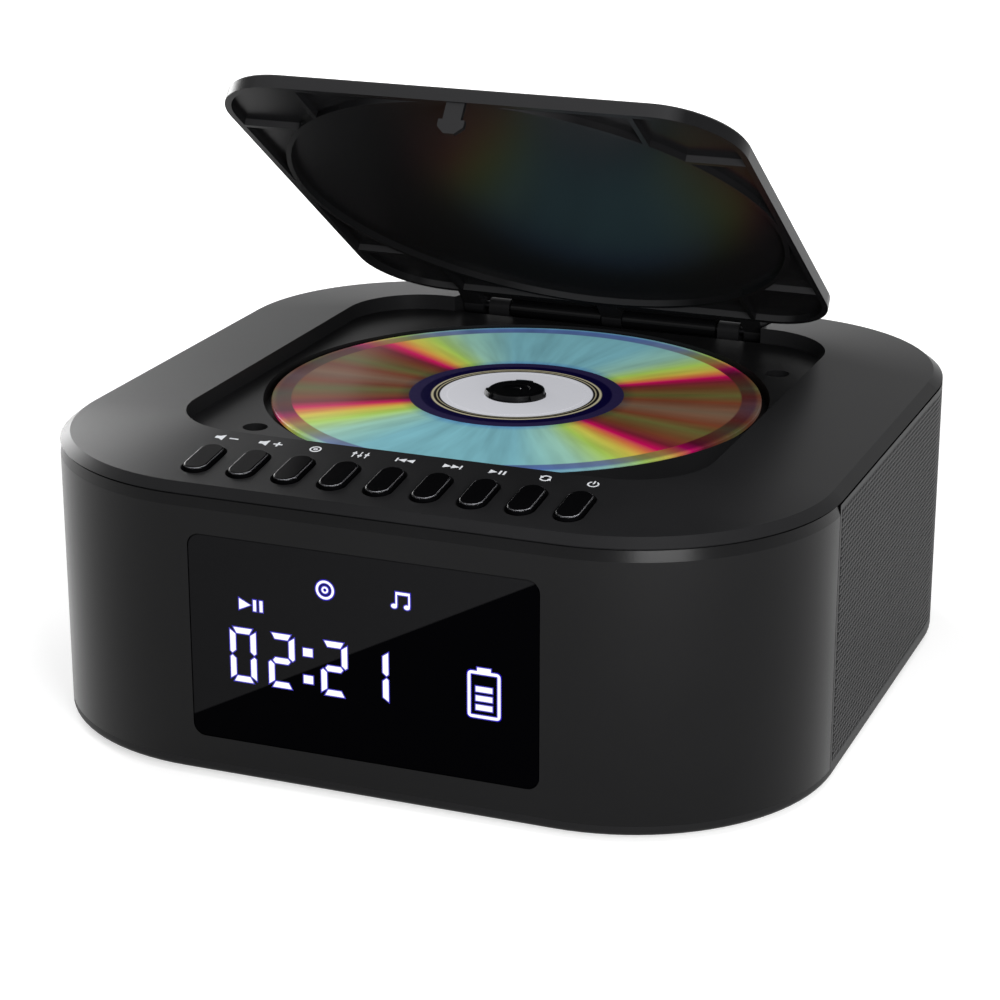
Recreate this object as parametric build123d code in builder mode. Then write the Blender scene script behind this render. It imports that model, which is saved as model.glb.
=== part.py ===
from build123d import *
from math import acos, atan2, cos, degrees, pi, radians, sin, tan
import os

# Portable top-loading disc player with two side speakers, modelled with its lid open.
# Millimetres. +Z is up, the front with the display faces -Y, and the origin is on
# the surface it stands on, under the middle of the case.

# Case: rounded square seen from above
body_width = 189.4
body_depth = 188.4
corner_radius = 49.5
wall = 2.6
foot_rise = 1.5
base_edge = 2.5
base_plate = 2.0
base_round = 1.4
shell_height = 63.7
shoulder_height = 2.5
shoulder_inset = 0.5
lip_gap = 0.3
lip_wall = 1.5
lip_depth = 2.5
fit_gap = 0.15

# Top cover: bevelled rim, then a slope that rises all round to the lid opening
shadow_gap = 0.6
shadow_inset = 1.0
rim_height = 1.85
rim_inset = 2.4
crown_rise = 3.45
crown_run = 27.3
cover_wall = 2.0
well_wall = 2.0
ledge_depth = 4.0
recess_radius = 62.0
recess_wall = 1.5
recess_depth = 7.6
recess_floor = 1.8
screw_well_radius = 3.0
screw_well_wall = 1.6
screw_well_places = [(-47.4, -48.4), (55.0, 39.5)]

# Disc and what carries it
disc_radius = 60.0
disc_hole_radius = 7.5
disc_thickness = 1.2
disc_drop = 4.3
turntable_radius = 16.0
turntable_height = 2.0
floor_hole_radius = 18.5
hub_radius = 7.3
hub_height = 3.4
hub_tabs = 3
hub_tab_width = 3.6
hub_round = 0.6
shaft_radius = 1.0
spindle_motor_radius = 10.0
spindle_motor_height = 8.0

# Lid, drawn closed and then turned open
lid_gap = 0.8
lid_plate = 1.8
lid_rim_height = 3.5
lid_rim_wall = 1.6
lid_ring_radius = 61.6
lid_ring_wall = 1.2
lid_edge = 0.5
lid_open_angle = 35.4
lid_rib = 1.2
front_rib_x = 41.0
front_rib_y = 39.5
hook_width = 4.4
hook_head_width = 6.4
hook_thickness = 1.2
hook_length = 9.2
hook_head_length = 3.4
hook_inset = 1.1
hook_slot_gap = 0.6
latch_height = 6.0
latch_wall = 1.4

# Hinge behind the opening
hinge_behind = 7.7
hinge_drop = 3.6
rod_radius = 1.25
rod_seat = 2.6
running_gap = 0.05
barrel_radius = 2.5
barrel_length = 5.5
notch_half = 43.0
notch_gap = 0.9
notch_drop = 4.8
notch_wall = 3.2
knuckle_gap = 0.6
bracket_width = 5.8
bracket_x = 32.4
bracket_radius = 2.2
tongue_thickness = 1.4
tongue_drop = 0.8
tongue_gap = 2.8
spring_wire = 0.35
spring_turns = 5
spring_x = 12.0
spring_pitch = 1.1

# Nine push keys on the front slope
key_names = ["volume_down", "volume_up", "source", "tone", "previous", "next", "play", "mode", "standby"]
key_pitch = 11.15
key_row_inset = 14.2
key_width = 5.7
key_length = 13.2
key_proud = 1.0
key_slot_gap = 0.75
key_flange = 0.8
key_flange_height = 0.8
key_flange_gap = 0.2
key_travel = 0.6
key_stem_radius = 1.6
key_stem_height = 0.8
key_edge = 0.5
switch_size = 6.0
switch_height = 2.4
board_thickness = 1.6
key_board_width = 112.0
key_board_depth = 16.0

# Display
window_width = 84.0
window_below = 6.5
window_above = 8.6
window_corner = 3.0
window_thickness = 1.5
window_ledge = 2.2
module_depth = 2.4
display_board_margin = 10.0
post_radius = 2.2

# Side grilles and speakers
grille_front_inset = 47.7
grille_rear_inset = 32.2
grille_thickness = 1.2
speaker_clearance = 0.85
speaker_flange_width = 3.0
speaker_flange = 1.5
basket_depth = 14.0
basket_wall = 1.2
basket_windows = 6
magnet_radius = 16.0
magnet_length = 11.0
magnet_plate = 2.0
pole_radius = 9.1
coil_radius = 9.9
coil_wall = 0.4
coil_gap = 0.4
cone_inset = 4.0
cone_depth = 9.0
cone_wall = 0.7
cone_travel = 0.8
surround_width = 3.4
surround_wall = 0.6
dust_cap_rise = 3.0

# Mechanism deck under the well
deck_thickness = 1.6
deck_drop = 4.0
deck_x0 = -26.0
deck_x1 = 76.0
deck_y0 = -47.0
deck_y1 = 28.0
damper_radius = 3.6
damper_flange = 1.2
damper_height = 2.0
damper_inset = 5.0
damper_right_x = 50.0
damper_right_y = 30.0
lens_rest_x = 24.0
sled_travel = 33.0
sled_length = 26.0
sled_width = 40.0
sled_height = 4.4
sled_gap = 0.3
rod_spacing = 32.0
guide_rod_radius = 1.25
lens_tower = 15.0
lens_tower_height = 5.6
lens_radius = 3.5
lens_height = 1.7
lens_slot_gap = 0.6
tower_gap = 1.0
lug_thickness = 3.0
lug_size = 6.0

# Feed gears
gear_module = 0.8
rack_gear_teeth = 12
wheel_teeth = 36
pinion_teeth = 10
pressure_angle = 20.0
addendum = 0.7
dedendum = 0.95
backlash = 0.16
gear_x = 40.0
gear_width = 2.0
rack_height = 2.4
rack_back = 2.2
rack_behind = 26.0
rack_ahead = 20.0
gear_post_radius = 1.2
feed_motor_radius = 8.0
feed_motor_height = 14.0
feed_shaft_radius = 0.8

# Electronics, battery and rear sockets
main_board_width = 84.0
main_board_depth = 80.0
main_board_y = -16.0
board_hole_inset = 5.0
board_post_height = 6.5
chip_height = 2.0
chip_size = 16.0
cell_radius = 9.2
cell_length = 65.0
cell_inset = 36.2
tray_wall = 1.6
socket_z = 20.0
usb_x = -18.0
usb_width = 14.5
usb_height = 7.0
usb_depth = 14.0
usb_wall = 0.8
jack_x = 6.0
jack_radius = 3.6
jack_bore = 1.8
jack_depth = 12.0
inlet_x = 28.0
inlet_width = 9.2
inlet_height = 3.5
inlet_depth = 7.5
inlet_wall = 0.5

# Feet and screws
foot_radius = 7.0
foot_recess = 0.6
foot_inset = 42.5
boss_inset = 25.5
boss_radius = 4.0
screw_head_radius = 2.9
screw_head_height = 1.6
screw_radius = 1.25
screw_length = 9.0
screw_cross = 0.7
small_head_radius = 2.0
small_head_height = 1.2
small_screw_radius = 1.0
small_screw_length = 4.0
pillar_radius = 3.6

# Heights and places worked out from the sizes above
base_top = foot_rise + base_edge
plate_top = foot_rise + base_plate
shell_top = base_top + shell_height
cover_bottom = shell_top + shadow_gap
rim_z = cover_bottom + rim_height
crest_z = rim_z + crown_rise
crest_inset = rim_inset + crown_run
crown_angle = degrees(atan2(crown_rise, crown_run))
ledge_z = crest_z - ledge_depth
recess_z = crest_z - recess_depth
floor_z = recess_z - recess_floor
disc_top = crest_z - disc_drop
disc_bottom = disc_top - disc_thickness
well_half_x = body_width / 2 - crest_inset
well_half_y = body_depth / 2 - crest_inset
well_corner = corner_radius - crest_inset
deck_top = floor_z - deck_drop
deck_bottom = deck_top - deck_thickness
sled_top = deck_bottom - sled_gap
sled_bottom = sled_top - sled_height
guide_rod_z = sled_top - sled_height / 2
hinge_y = well_half_y + hinge_behind
hinge_z = crest_z - hinge_drop
notch_floor = hinge_z - notch_drop
notch_rear = hinge_y + barrel_radius + notch_gap
lid_top = crest_z
lid_under = lid_top - lid_plate
lid_bottom = lid_top - lid_rim_height
lid_half_x = well_half_x - lid_gap
lid_half_y = well_half_y - lid_gap
hook_y = -lid_half_y + hook_inset
key_row_y = -body_depth / 2 + key_row_inset
window_height = shell_height - window_below - window_above
window_centre_z = base_top + window_below + window_height / 2
grille_front_y = -body_depth / 2 + grille_front_inset
grille_rear_y = body_depth / 2 - grille_rear_inset
speaker_y = (grille_front_y + grille_rear_y) / 2
speaker_z = (base_top + shell_top) / 2
speaker_flange_radius = shell_height / 2 - lip_depth - speaker_clearance
speaker_hole_radius = speaker_flange_radius - speaker_flange_width
cone_radius = speaker_hole_radius - cone_inset
cell_y = body_depth / 2 - cell_inset
boss_x = body_width / 2 - boss_inset
boss_y = body_depth / 2 - boss_inset
foot_x = body_width / 2 - foot_inset
foot_y = body_depth / 2 - foot_inset
board_z = plate_top + board_post_height
front_inner_y = -body_depth / 2 + wall
side_inner_x = body_width / 2 - wall
corner_signs = [(sx, sy) for sx in (-1, 1) for sy in (-1, 1)]
boss_places = [(sx * boss_x, sy * boss_y) for sx, sy in corner_signs]
foot_places = [(sx * foot_x, sy * foot_y) for sx, sy in corner_signs]

os.makedirs("parts", exist_ok=True)


def outline(inset, mode=Mode.ADD):
    """The case seen from above, moved inwards by inset."""
    width = body_width - 2 * inset
    depth = body_depth - 2 * inset
    return RectangleRounded(width, depth, corner_radius - inset, mode=mode)


def save(piece, name):
    """Label a finished piece and write it."""
    piece.label = name
    export_step(piece, f"parts/{name}.step")


def slope_plane(x, y):
    """A plane lying on the front slope of the cover at x, y."""
    height = rim_z + (y + body_depth / 2 - rim_inset) * crown_rise / crown_run
    tilt = radians(crown_angle)
    return Plane(origin=(x, y, height), x_dir=(1, 0, 0), z_dir=(0, -sin(tilt), cos(tilt)))


def gear_points(teeth, turn):
    """Corners of a gear whose involute flanks are each drawn through three points."""
    pitch_r = gear_module * teeth / 2
    base_r = pitch_r * cos(radians(pressure_angle))
    radii = (pitch_r - dedendum * gear_module, pitch_r, pitch_r + addendum * gear_module)
    pitch_half = pi / (2 * teeth) - backlash / (2 * pitch_r)
    pitch_involute = tan(radians(pressure_angle)) - radians(pressure_angle)

    def half_angle(r):
        rolled = acos(base_r / max(r, base_r))
        return pitch_half + pitch_involute - (tan(rolled) - rolled)

    points = []
    for tooth in range(teeth):
        middle = 2 * pi * tooth / teeth + turn
        flank = [(r, middle - half_angle(r)) for r in radii]
        flank += [(r, middle + half_angle(r)) for r in reversed(radii)]
        points += [(r * cos(a), r * sin(a)) for r, a in flank]
    return points


def rack_points(x0, x1, middle_x):
    """Corners of a straight rack whose teeth point to -Y from the pitch line y = 0."""
    pitch = pi * gear_module
    half = pitch / 4 - backlash / 2
    lean = tan(radians(pressure_angle))
    tip = addendum * gear_module
    root = dedendum * gear_module
    points = [(x0, root + rack_back), (x0, root)]
    first = int((x0 - middle_x) / pitch) + 1
    last = int((x1 - middle_x) / pitch) - 1
    for step in range(first, last):
        middle = middle_x + (step + 0.5) * pitch
        points.append((middle - half - root * lean, root))
        points.append((middle - half + tip * lean, -tip))
        points.append((middle + half - tip * lean, -tip))
        points.append((middle + half + root * lean, root))
    return points + [(x1, root), (x1, root + rack_back)]


# Base cover: rounded underside, foot recesses and posts for the main board
post_half_x = main_board_width / 2 - board_hole_inset
post_half_y = main_board_depth / 2 - board_hole_inset
board_posts = [(sx * post_half_x, main_board_y + sy * post_half_y) for sx, sy in corner_signs]

with BuildPart() as base_cover:
    with BuildSketch(Plane.XY.offset(foot_rise)):
        outline(0)
    extrude(amount=base_edge)
    fillet(base_cover.faces().sort_by(Axis.Z)[0].edges(), base_round)
    with BuildSketch(Plane.XY.offset(plate_top)):
        outline(wall + lip_gap + lip_wall)
    extrude(amount=base_edge, mode=Mode.SUBTRACT)
    with BuildSketch(Plane.XY.offset(plate_top)):
        outline(wall + lip_gap)
        offset(amount=-lip_wall, mode=Mode.SUBTRACT)
    extrude(amount=base_edge - base_plate + lip_depth)
    with BuildSketch(Plane.XY.offset(plate_top)):
        with Locations(*board_posts):
            Circle(post_radius)
            Circle(small_screw_radius, mode=Mode.SUBTRACT)
    extrude(amount=board_post_height)
    with BuildSketch(Plane.XY.offset(plate_top)):
        with Locations(*screw_well_places):
            Circle(pillar_radius)
    extrude(amount=floor_z - plate_top)
    with BuildSketch(Plane.XY.offset(floor_z)):
        with Locations(*screw_well_places):
            Circle(screw_radius)
    extrude(amount=-screw_length, mode=Mode.SUBTRACT)
    with BuildSketch(Plane.XY.offset(foot_rise)):
        with Locations(*foot_places):
            Circle(foot_radius)
    extrude(amount=foot_recess, mode=Mode.SUBTRACT)
    with BuildSketch(Plane.XY.offset(foot_rise)):
        with Locations(*boss_places):
            Circle(screw_radius + fit_gap)
    extrude(amount=base_edge, mode=Mode.SUBTRACT)
    with BuildSketch(Plane.XY.offset(foot_rise)):
        with Locations(*boss_places):
            Circle(screw_head_radius + fit_gap)
    extrude(amount=screw_head_height, mode=Mode.SUBTRACT)
save(base_cover.part, "base_cover")

with BuildPart() as rubber_feet:
    with BuildSketch():
        with Locations(*foot_places):
            Circle(foot_radius - fit_gap)
    extrude(amount=foot_rise + foot_recess)
    fillet(rubber_feet.faces().group_by(Axis.Z)[0].edges(), foot_recess)
save(rubber_feet.part, "rubber_feet")

with BuildPart() as base_screws:
    with BuildSketch(Plane.XY.offset(foot_rise)):
        with Locations(*boss_places):
            Circle(screw_head_radius)
    extrude(amount=screw_head_height)
    with BuildSketch(Plane.XY.offset(foot_rise)):
        with Locations(*boss_places):
            Circle(screw_radius)
    extrude(amount=screw_length)
save(base_screws.part, "base_screws")

# Body shell: open at top and bottom, with a chamfered shoulder and screw bosses
with BuildPart() as grille_zone:
    for side in (-1, 1):
        with BuildSketch(Plane.XY.offset(base_top)):
            with Locations((side * body_width / 2, (grille_front_y + grille_rear_y) / 2)):
                Rectangle(2 * corner_radius, grille_rear_y - grille_front_y)
        extrude(amount=shell_height)

window_mid = Plane.XZ.offset(body_depth / 2)
module_width = window_width - 2 * window_ledge - 2 * fit_gap
module_height = window_height - 2 * window_ledge - 2 * fit_gap
module_back = front_inner_y + module_depth
display_posts = [
    (sx * (module_width / 2 + post_radius + fit_gap), window_centre_z + sz * module_height / 2)
    for sx, sz in corner_signs
]

with BuildPart() as shell_outside:
    with BuildSketch(Plane.XY.offset(base_top)):
        outline(0)
    extrude(amount=shell_height - shoulder_height)
    with BuildSketch(Plane.XY.offset(shell_top - shoulder_height)):
        outline(0)
    with BuildSketch(Plane.XY.offset(shell_top)):
        outline(shoulder_inset)
    loft()

with BuildPart() as shell_core:
    with BuildSketch(Plane.XY.offset(base_top)):
        outline(grille_thickness)
    extrude(amount=shell_height)

with BuildPart() as grille_skin:
    add(shell_outside.part)
    add(shell_core.part, mode=Mode.SUBTRACT)
    add(grille_zone.part, mode=Mode.INTERSECT)

rib_bottom = base_top + lip_depth + lip_gap
rib_top = shell_top - lip_depth - 2 * lip_gap
jack_face = body_depth / 2 - wall

with BuildPart() as body_shell:
    add(shell_outside.part)
    with BuildSketch(Plane.XY.offset(base_top)):
        outline(wall)
    extrude(amount=shell_height, mode=Mode.SUBTRACT)
    with BuildSketch(Plane.XY.offset(rib_bottom)):
        for sx, sy in corner_signs:
            with Locations((sx * (boss_x + boss_inset / 2), sy * boss_y)):
                Rectangle(boss_inset, lip_wall)
            with Locations((sx * boss_x, sy * (boss_y + boss_inset / 2))):
                Rectangle(lip_wall, boss_inset)
        outline(wall / 2, mode=Mode.INTERSECT)
    extrude(amount=rib_top - rib_bottom)
    with BuildSketch(Plane.XY.offset(plate_top)):
        with Locations(*boss_places):
            Circle(boss_radius)
    extrude(amount=rib_top - plate_top)
    with BuildSketch(Plane.XY.offset(plate_top)):
        with Locations(*boss_places):
            Circle(screw_radius)
    extrude(amount=screw_length, mode=Mode.SUBTRACT)
    add(grille_skin.part, mode=Mode.SUBTRACT)
    with BuildSketch(Plane.YZ.offset(-body_width / 2)):
        with Locations((speaker_y, speaker_z)):
            Circle(speaker_hole_radius)
    extrude(amount=body_width, mode=Mode.SUBTRACT)
    with BuildSketch(window_mid):
        with Locations((0, window_centre_z)):
            RectangleRounded(window_width + 2 * fit_gap, window_height + 2 * fit_gap, window_corner)
    extrude(amount=-window_thickness, mode=Mode.SUBTRACT)
    with BuildSketch(window_mid):
        with Locations((0, window_centre_z)):
            RectangleRounded(window_width - 2 * window_ledge, window_height - 2 * window_ledge, fit_gap)
    extrude(amount=-wall, mode=Mode.SUBTRACT)
    with BuildSketch(Plane.XZ.offset(-front_inner_y)):
        with Locations(*display_posts):
            Circle(post_radius)
            Circle(small_screw_radius, mode=Mode.SUBTRACT)
    extrude(amount=-module_depth)
    with BuildSketch(Plane.XZ.offset(-jack_face)):
        with Locations((usb_x, socket_z)):
            Rectangle(usb_width + 2 * fit_gap, usb_height + 2 * fit_gap)
        with Locations((jack_x, socket_z)):
            Circle(jack_radius + fit_gap)
        with Locations((inlet_x, socket_z)):
            SlotOverall(inlet_width + 2 * fit_gap, inlet_height + 2 * fit_gap)
    extrude(amount=-wall, mode=Mode.SUBTRACT)
save(body_shell.part, "body_shell")

# Side grilles lie flush in the shell's recesses
for name, side in (("grille_left", -1), ("grille_right", 1)):
    with BuildPart() as grille:
        add(grille_skin.part)
        with BuildSketch(Plane.XY.offset(base_top)):
            with Locations((side * body_width / 2, 0)):
                Rectangle(body_width, body_depth)
        extrude(amount=shell_height, mode=Mode.INTERSECT)
    save(grille.part, name)

# Display: gloss window, segment module and its board on four posts of the shell
with BuildPart() as display_window:
    with BuildSketch(window_mid):
        with Locations((0, window_centre_z)):
            RectangleRounded(window_width, window_height, window_corner)
    extrude(amount=-window_thickness)
    chamfer(display_window.faces().sort_by(Axis.Y)[0].edges(), fit_gap)
save(display_window.part, "display_window")

with BuildPart() as display_module:
    with BuildSketch(Plane.XZ.offset(body_depth / 2 - window_thickness)):
        with Locations((0, window_centre_z)):
            Rectangle(module_width, module_height)
    extrude(amount=-(module_back + body_depth / 2 - window_thickness))
save(display_module.part, "display_module")

with BuildPart() as display_board:
    with BuildSketch(Plane.XZ.offset(-module_back)):
        with Locations((0, window_centre_z)):
            Rectangle(module_width + display_board_margin, module_height + display_board_margin)
        with Locations(*display_posts):
            Circle(small_screw_radius, mode=Mode.SUBTRACT)
    extrude(amount=-board_thickness)
save(display_board.part, "display_board")

# Speakers: basket, magnet, surround and cone, one set for each side
cone_front = side_inner_x - speaker_flange - surround_wall
basket_back = side_inner_x - speaker_flange - basket_depth
magnet_back = basket_back - magnet_length
coil_back = basket_back - magnet_length + magnet_plate + cone_travel + lip_gap
cone_back = cone_front - cone_depth
coil_outer = coil_radius + coil_wall
speaker_axis = Axis((0, speaker_y, speaker_z), (1, 0, 0))
speaker_plane = Plane(origin=(0, speaker_y, speaker_z), x_dir=(1, 0, 0), z_dir=(0, -1, 0))

with BuildPart() as basket:
    with BuildSketch(speaker_plane):
        with BuildLine():
            Polyline(
                (basket_back, magnet_radius),
                (basket_back, coil_outer + 2 * coil_gap),
                (basket_back + basket_wall, coil_outer + 2 * coil_gap),
                (basket_back + basket_wall, magnet_radius),
                (side_inner_x - speaker_flange, speaker_hole_radius),
                (side_inner_x, speaker_hole_radius),
                (side_inner_x, speaker_flange_radius),
                (side_inner_x - speaker_flange, speaker_flange_radius),
                close=True,
            )
        make_face()
    revolve(axis=speaker_axis)
    with BuildSketch(Plane.YZ.offset(basket_back + basket_wall)):
        with Locations((speaker_y, speaker_z)):
            with PolarLocations((magnet_radius + speaker_hole_radius) / 2, basket_windows):
                Circle((speaker_hole_radius - magnet_radius - basket_wall) / 2)
    extrude(amount=basket_depth - basket_wall - speaker_flange, mode=Mode.SUBTRACT)

with BuildPart() as magnet:
    with BuildSketch(speaker_plane):
        with BuildLine():
            Polyline(
                (magnet_back, 0),
                (magnet_back, magnet_radius),
                (basket_back, magnet_radius),
                (basket_back, coil_outer + coil_gap),
                (magnet_back + magnet_plate, coil_outer + coil_gap),
                (magnet_back + magnet_plate, pole_radius),
                (basket_back, pole_radius),
                (basket_back, 0),
                close=True,
            )
        make_face()
    revolve(axis=speaker_axis)

roll_x = side_inner_x - speaker_flange / 2
with BuildPart() as surround:
    with BuildSketch(speaker_plane):
        with Locations((roll_x, speaker_hole_radius - surround_width / 2 - surround_wall)):
            Circle(surround_width / 2)
            Circle(surround_width / 2 - surround_wall, mode=Mode.SUBTRACT)
        with Locations((roll_x, 0)):
            Rectangle(
                speaker_flange_radius,
                4 * speaker_flange_radius,
                align=(Align.MAX, Align.CENTER),
                mode=Mode.SUBTRACT,
            )
        with Locations((roll_x, speaker_hole_radius)):
            Rectangle(surround_wall, 2 * surround_wall, align=(Align.MIN, Align.MAX))
    revolve(axis=speaker_axis)

cap_foot = cone_back + cone_wall
cap_tip = cap_foot + dust_cap_rise
with BuildPart() as cone:
    with BuildSketch(speaker_plane):
        with BuildLine():
            Polyline(
                (coil_back, coil_radius),
                (cap_foot, coil_radius),
                (cone_front, cone_radius - cone_wall),
                (cone_front, cone_radius),
                (cone_back, coil_outer + cone_wall),
                (cone_back, coil_outer),
                (coil_back, coil_outer),
                close=True,
            )
        make_face()
    revolve(axis=speaker_axis)
    with BuildSketch(speaker_plane):
        with BuildLine():
            outer = TangentArc((cap_tip, 0), (cap_foot, coil_outer), tangent=(0, 1))
            Line(outer @ 1, (cap_foot - cone_wall, coil_outer))
            inner = TangentArc((cap_tip - cone_wall, 0), (cap_foot - cone_wall, coil_outer), tangent=(0, 1))
            Line(inner @ 0, outer @ 0)
        make_face()
    revolve(axis=speaker_axis)

for piece, name in ((basket, "basket"), (magnet, "magnet"), (surround, "surround"), (cone, "cone")):
    save(piece.part, f"speaker_{name}_right")
    save(mirror(piece.part, about=Plane.YZ), f"speaker_{name}_left")

# Places along the key row, measured from the slope of the cover
key_xs = [(index - (len(key_names) - 1) / 2) * key_pitch for index in range(len(key_names))]
flange_top = -cover_wall - key_flange_gap
flange_length = key_length + 2 * key_slot_gap + key_flange
flange_width = key_width + 2 * key_slot_gap + key_flange
stem_bottom = flange_top - key_flange_height - key_stem_height
switch_top = stem_bottom - key_travel - key_flange_gap
key_board_top = switch_top - switch_height
key_board_posts = [(side * (key_board_width / 2 - post_radius - fit_gap), 0) for side in (-1, 1)]

# Top cover: rim, slope, lid well, disc recess, hinge notch and key slots
cover_inner = wall + lip_gap + lip_wall
inner_rise = (cover_inner - rim_inset) * crown_rise / crown_run - cover_wall
notch_mid_y = (well_half_y + notch_rear) / 2
damper_posts = [
    (deck_x0 + damper_inset, deck_y0 + damper_inset),
    (deck_x0 + damper_inset, deck_y1 - damper_inset),
    (damper_right_x, -damper_right_y),
    (damper_right_x, deck_y1 - damper_inset),
]

with BuildPart() as cover_hollow:
    with BuildSketch(Plane.XY.offset(shell_top - lip_depth)):
        outline(cover_inner)
    extrude(amount=rim_z + inner_rise - shell_top + lip_depth)
    with BuildSketch(Plane.XY.offset(rim_z + inner_rise)):
        outline(cover_inner)
    with BuildSketch(Plane.XY.offset(crest_z - cover_wall)):
        outline(crest_inset)
    loft()

with BuildPart() as top_cover:
    with BuildSketch(Plane.XY.offset(shell_top - lip_depth)):
        outline(wall + lip_gap)
    extrude(amount=lip_depth)
    with BuildSketch(Plane.XY.offset(shell_top)):
        outline(shadow_inset)
    extrude(amount=shadow_gap)
    with BuildSketch(Plane.XY.offset(cover_bottom)):
        outline(0)
    with BuildSketch(Plane.XY.offset(rim_z)):
        outline(rim_inset)
    loft()
    with BuildSketch(Plane.XY.offset(rim_z)):
        outline(rim_inset)
    with BuildSketch(Plane.XY.offset(crest_z)):
        outline(crest_inset)
    loft()
    add(cover_hollow.part, mode=Mode.SUBTRACT)
    with BuildSketch(Plane.XY.offset(floor_z)):
        outline(crest_inset - well_wall)
    extrude(amount=rim_z - floor_z)
    with BuildSketch(Plane.XY.offset(floor_z)):
        with Locations((0, notch_mid_y)):
            Rectangle(2 * (notch_half + notch_wall), notch_rear - well_half_y + 2 * notch_wall)
    extrude(amount=rim_z + cover_wall / 2 - floor_z)
    with BuildSketch(Plane.XY.offset(rim_z)):
        outline(crest_inset - well_wall)
    extrude(amount=crown_rise - cover_wall / 2)
    with BuildSketch(Plane.XY.offset(ledge_z)):
        outline(crest_inset)
    extrude(amount=2 * ledge_depth, mode=Mode.SUBTRACT)
    with BuildSketch(Plane.XY.offset(floor_z)):
        outline(crest_inset + lip_gap)
        Circle(recess_radius + recess_wall, mode=Mode.SUBTRACT)
    extrude(amount=ledge_z - cover_wall - floor_z, mode=Mode.SUBTRACT)
    with BuildSketch(Plane.XY.offset(recess_z)):
        Circle(recess_radius)
    extrude(amount=recess_depth, mode=Mode.SUBTRACT)
    with BuildSketch(Plane.XY.offset(floor_z)):
        Circle(floor_hole_radius)
        with Locations((lens_rest_x + sled_travel, 0)):
            Circle(lens_radius + lens_slot_gap)
        Rectangle(
            lens_rest_x + sled_travel,
            2 * (lens_radius + lens_slot_gap),
            align=(Align.MIN, Align.CENTER),
        )
    extrude(amount=recess_floor, mode=Mode.SUBTRACT)
    with BuildSketch(Plane.XY.offset(notch_floor)):
        with Locations((0, notch_mid_y)):
            Rectangle(2 * notch_half, notch_rear - well_half_y + fit_gap)
    extrude(amount=crest_z - notch_floor + lip_gap, mode=Mode.SUBTRACT)
    for side in (-1, 1):
        with BuildSketch(Plane.YZ.offset(side * bracket_x - bracket_width / 2)):
            with Locations((hinge_y, hinge_z)):
                Circle(bracket_radius)
            with Locations((hinge_y, notch_floor)):
                Rectangle(2 * bracket_radius, notch_drop, align=(Align.CENTER, Align.MIN))
        extrude(amount=bracket_width)
    with BuildSketch(Plane.YZ.offset(-notch_half - rod_seat)):
        with Locations((hinge_y, hinge_z)):
            Circle(rod_radius)
    extrude(amount=2 * (notch_half + rod_seat), mode=Mode.SUBTRACT)
    with BuildSketch(Plane.XY.offset(floor_z)):
        with Locations((0, hook_y)):
            Rectangle(hook_head_width + 2 * hook_slot_gap, hook_thickness + 2 * hook_slot_gap)
    extrude(amount=ledge_depth + recess_depth, mode=Mode.SUBTRACT)
    with BuildSketch(Plane.XY.offset(floor_z)):
        with Locations(*screw_well_places):
            Circle(screw_well_radius + screw_well_wall)
    extrude(amount=ledge_z - cover_wall - floor_z)
    with BuildSketch(Plane.XY.offset(floor_z)):
        with Locations(*screw_well_places):
            Circle(screw_radius + fit_gap)
    extrude(amount=recess_floor, mode=Mode.SUBTRACT)
    with BuildSketch(Plane.XY.offset(recess_z)):
        with Locations(*screw_well_places):
            Circle(screw_well_radius)
    extrude(amount=ledge_depth, mode=Mode.SUBTRACT)
    for x in key_xs:
        with BuildSketch(slope_plane(x, key_row_y)):
            SlotOverall(key_length + 2 * key_slot_gap, key_width + 2 * key_slot_gap, rotation=90)
        extrude(amount=2 * cover_wall, both=True, mode=Mode.SUBTRACT)
    with BuildSketch(Plane.XY.offset(deck_top + damper_height)):
        with Locations(*damper_posts):
            Circle(damper_radius)
            Circle(small_screw_radius, mode=Mode.SUBTRACT)
    extrude(amount=deck_drop - damper_height)
    with BuildSketch(slope_plane(0, key_row_y).offset(key_board_top)):
        with Locations(*key_board_posts):
            Circle(post_radius)
            Circle(small_screw_radius, mode=Mode.SUBTRACT)
    extrude(amount=-key_board_top - cover_wall / 2)
save(top_cover.part, "top_cover")

# Screws in the two wells of the ledge, down into pillars of the base cover
with BuildPart() as cover_screws:
    with BuildSketch(Plane.XY.offset(recess_z)):
        with Locations(*screw_well_places):
            Circle(screw_head_radius)
    extrude(amount=screw_head_height)
    with BuildSketch(Plane.XY.offset(recess_z + screw_head_height)):
        with Locations(*screw_well_places):
            Rectangle(screw_head_radius, screw_cross)
            Rectangle(screw_cross, screw_head_radius)
    extrude(amount=-screw_cross, mode=Mode.SUBTRACT)
    with BuildSketch(Plane.XY.offset(recess_z)):
        with Locations(*screw_well_places):
            Circle(screw_radius)
    extrude(amount=-screw_length)
save(cover_screws.part, "cover_screws")

# Push keys with retaining flanges, the key board and its switches
slope_up = Axis((0, 0, 0), slope_plane(0, key_row_y).z_dir)
for name, x in zip(key_names, key_xs):
    key_plane = slope_plane(x, key_row_y)
    with BuildPart() as key:
        with BuildSketch(key_plane.offset(flange_top)):
            SlotOverall(key_length, key_width, rotation=90)
        extrude(amount=key_proud - flange_top)
        fillet(key.faces().sort_by(slope_up)[-1].edges(), key_edge)
        with BuildSketch(key_plane.offset(flange_top)):
            SlotOverall(flange_length, flange_width, rotation=90)
        extrude(amount=-key_flange_height)
        with BuildSketch(key_plane.offset(flange_top - key_flange_height)):
            Circle(key_stem_radius)
        extrude(amount=-key_stem_height)
    save(key.part, f"key_{name}")

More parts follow.
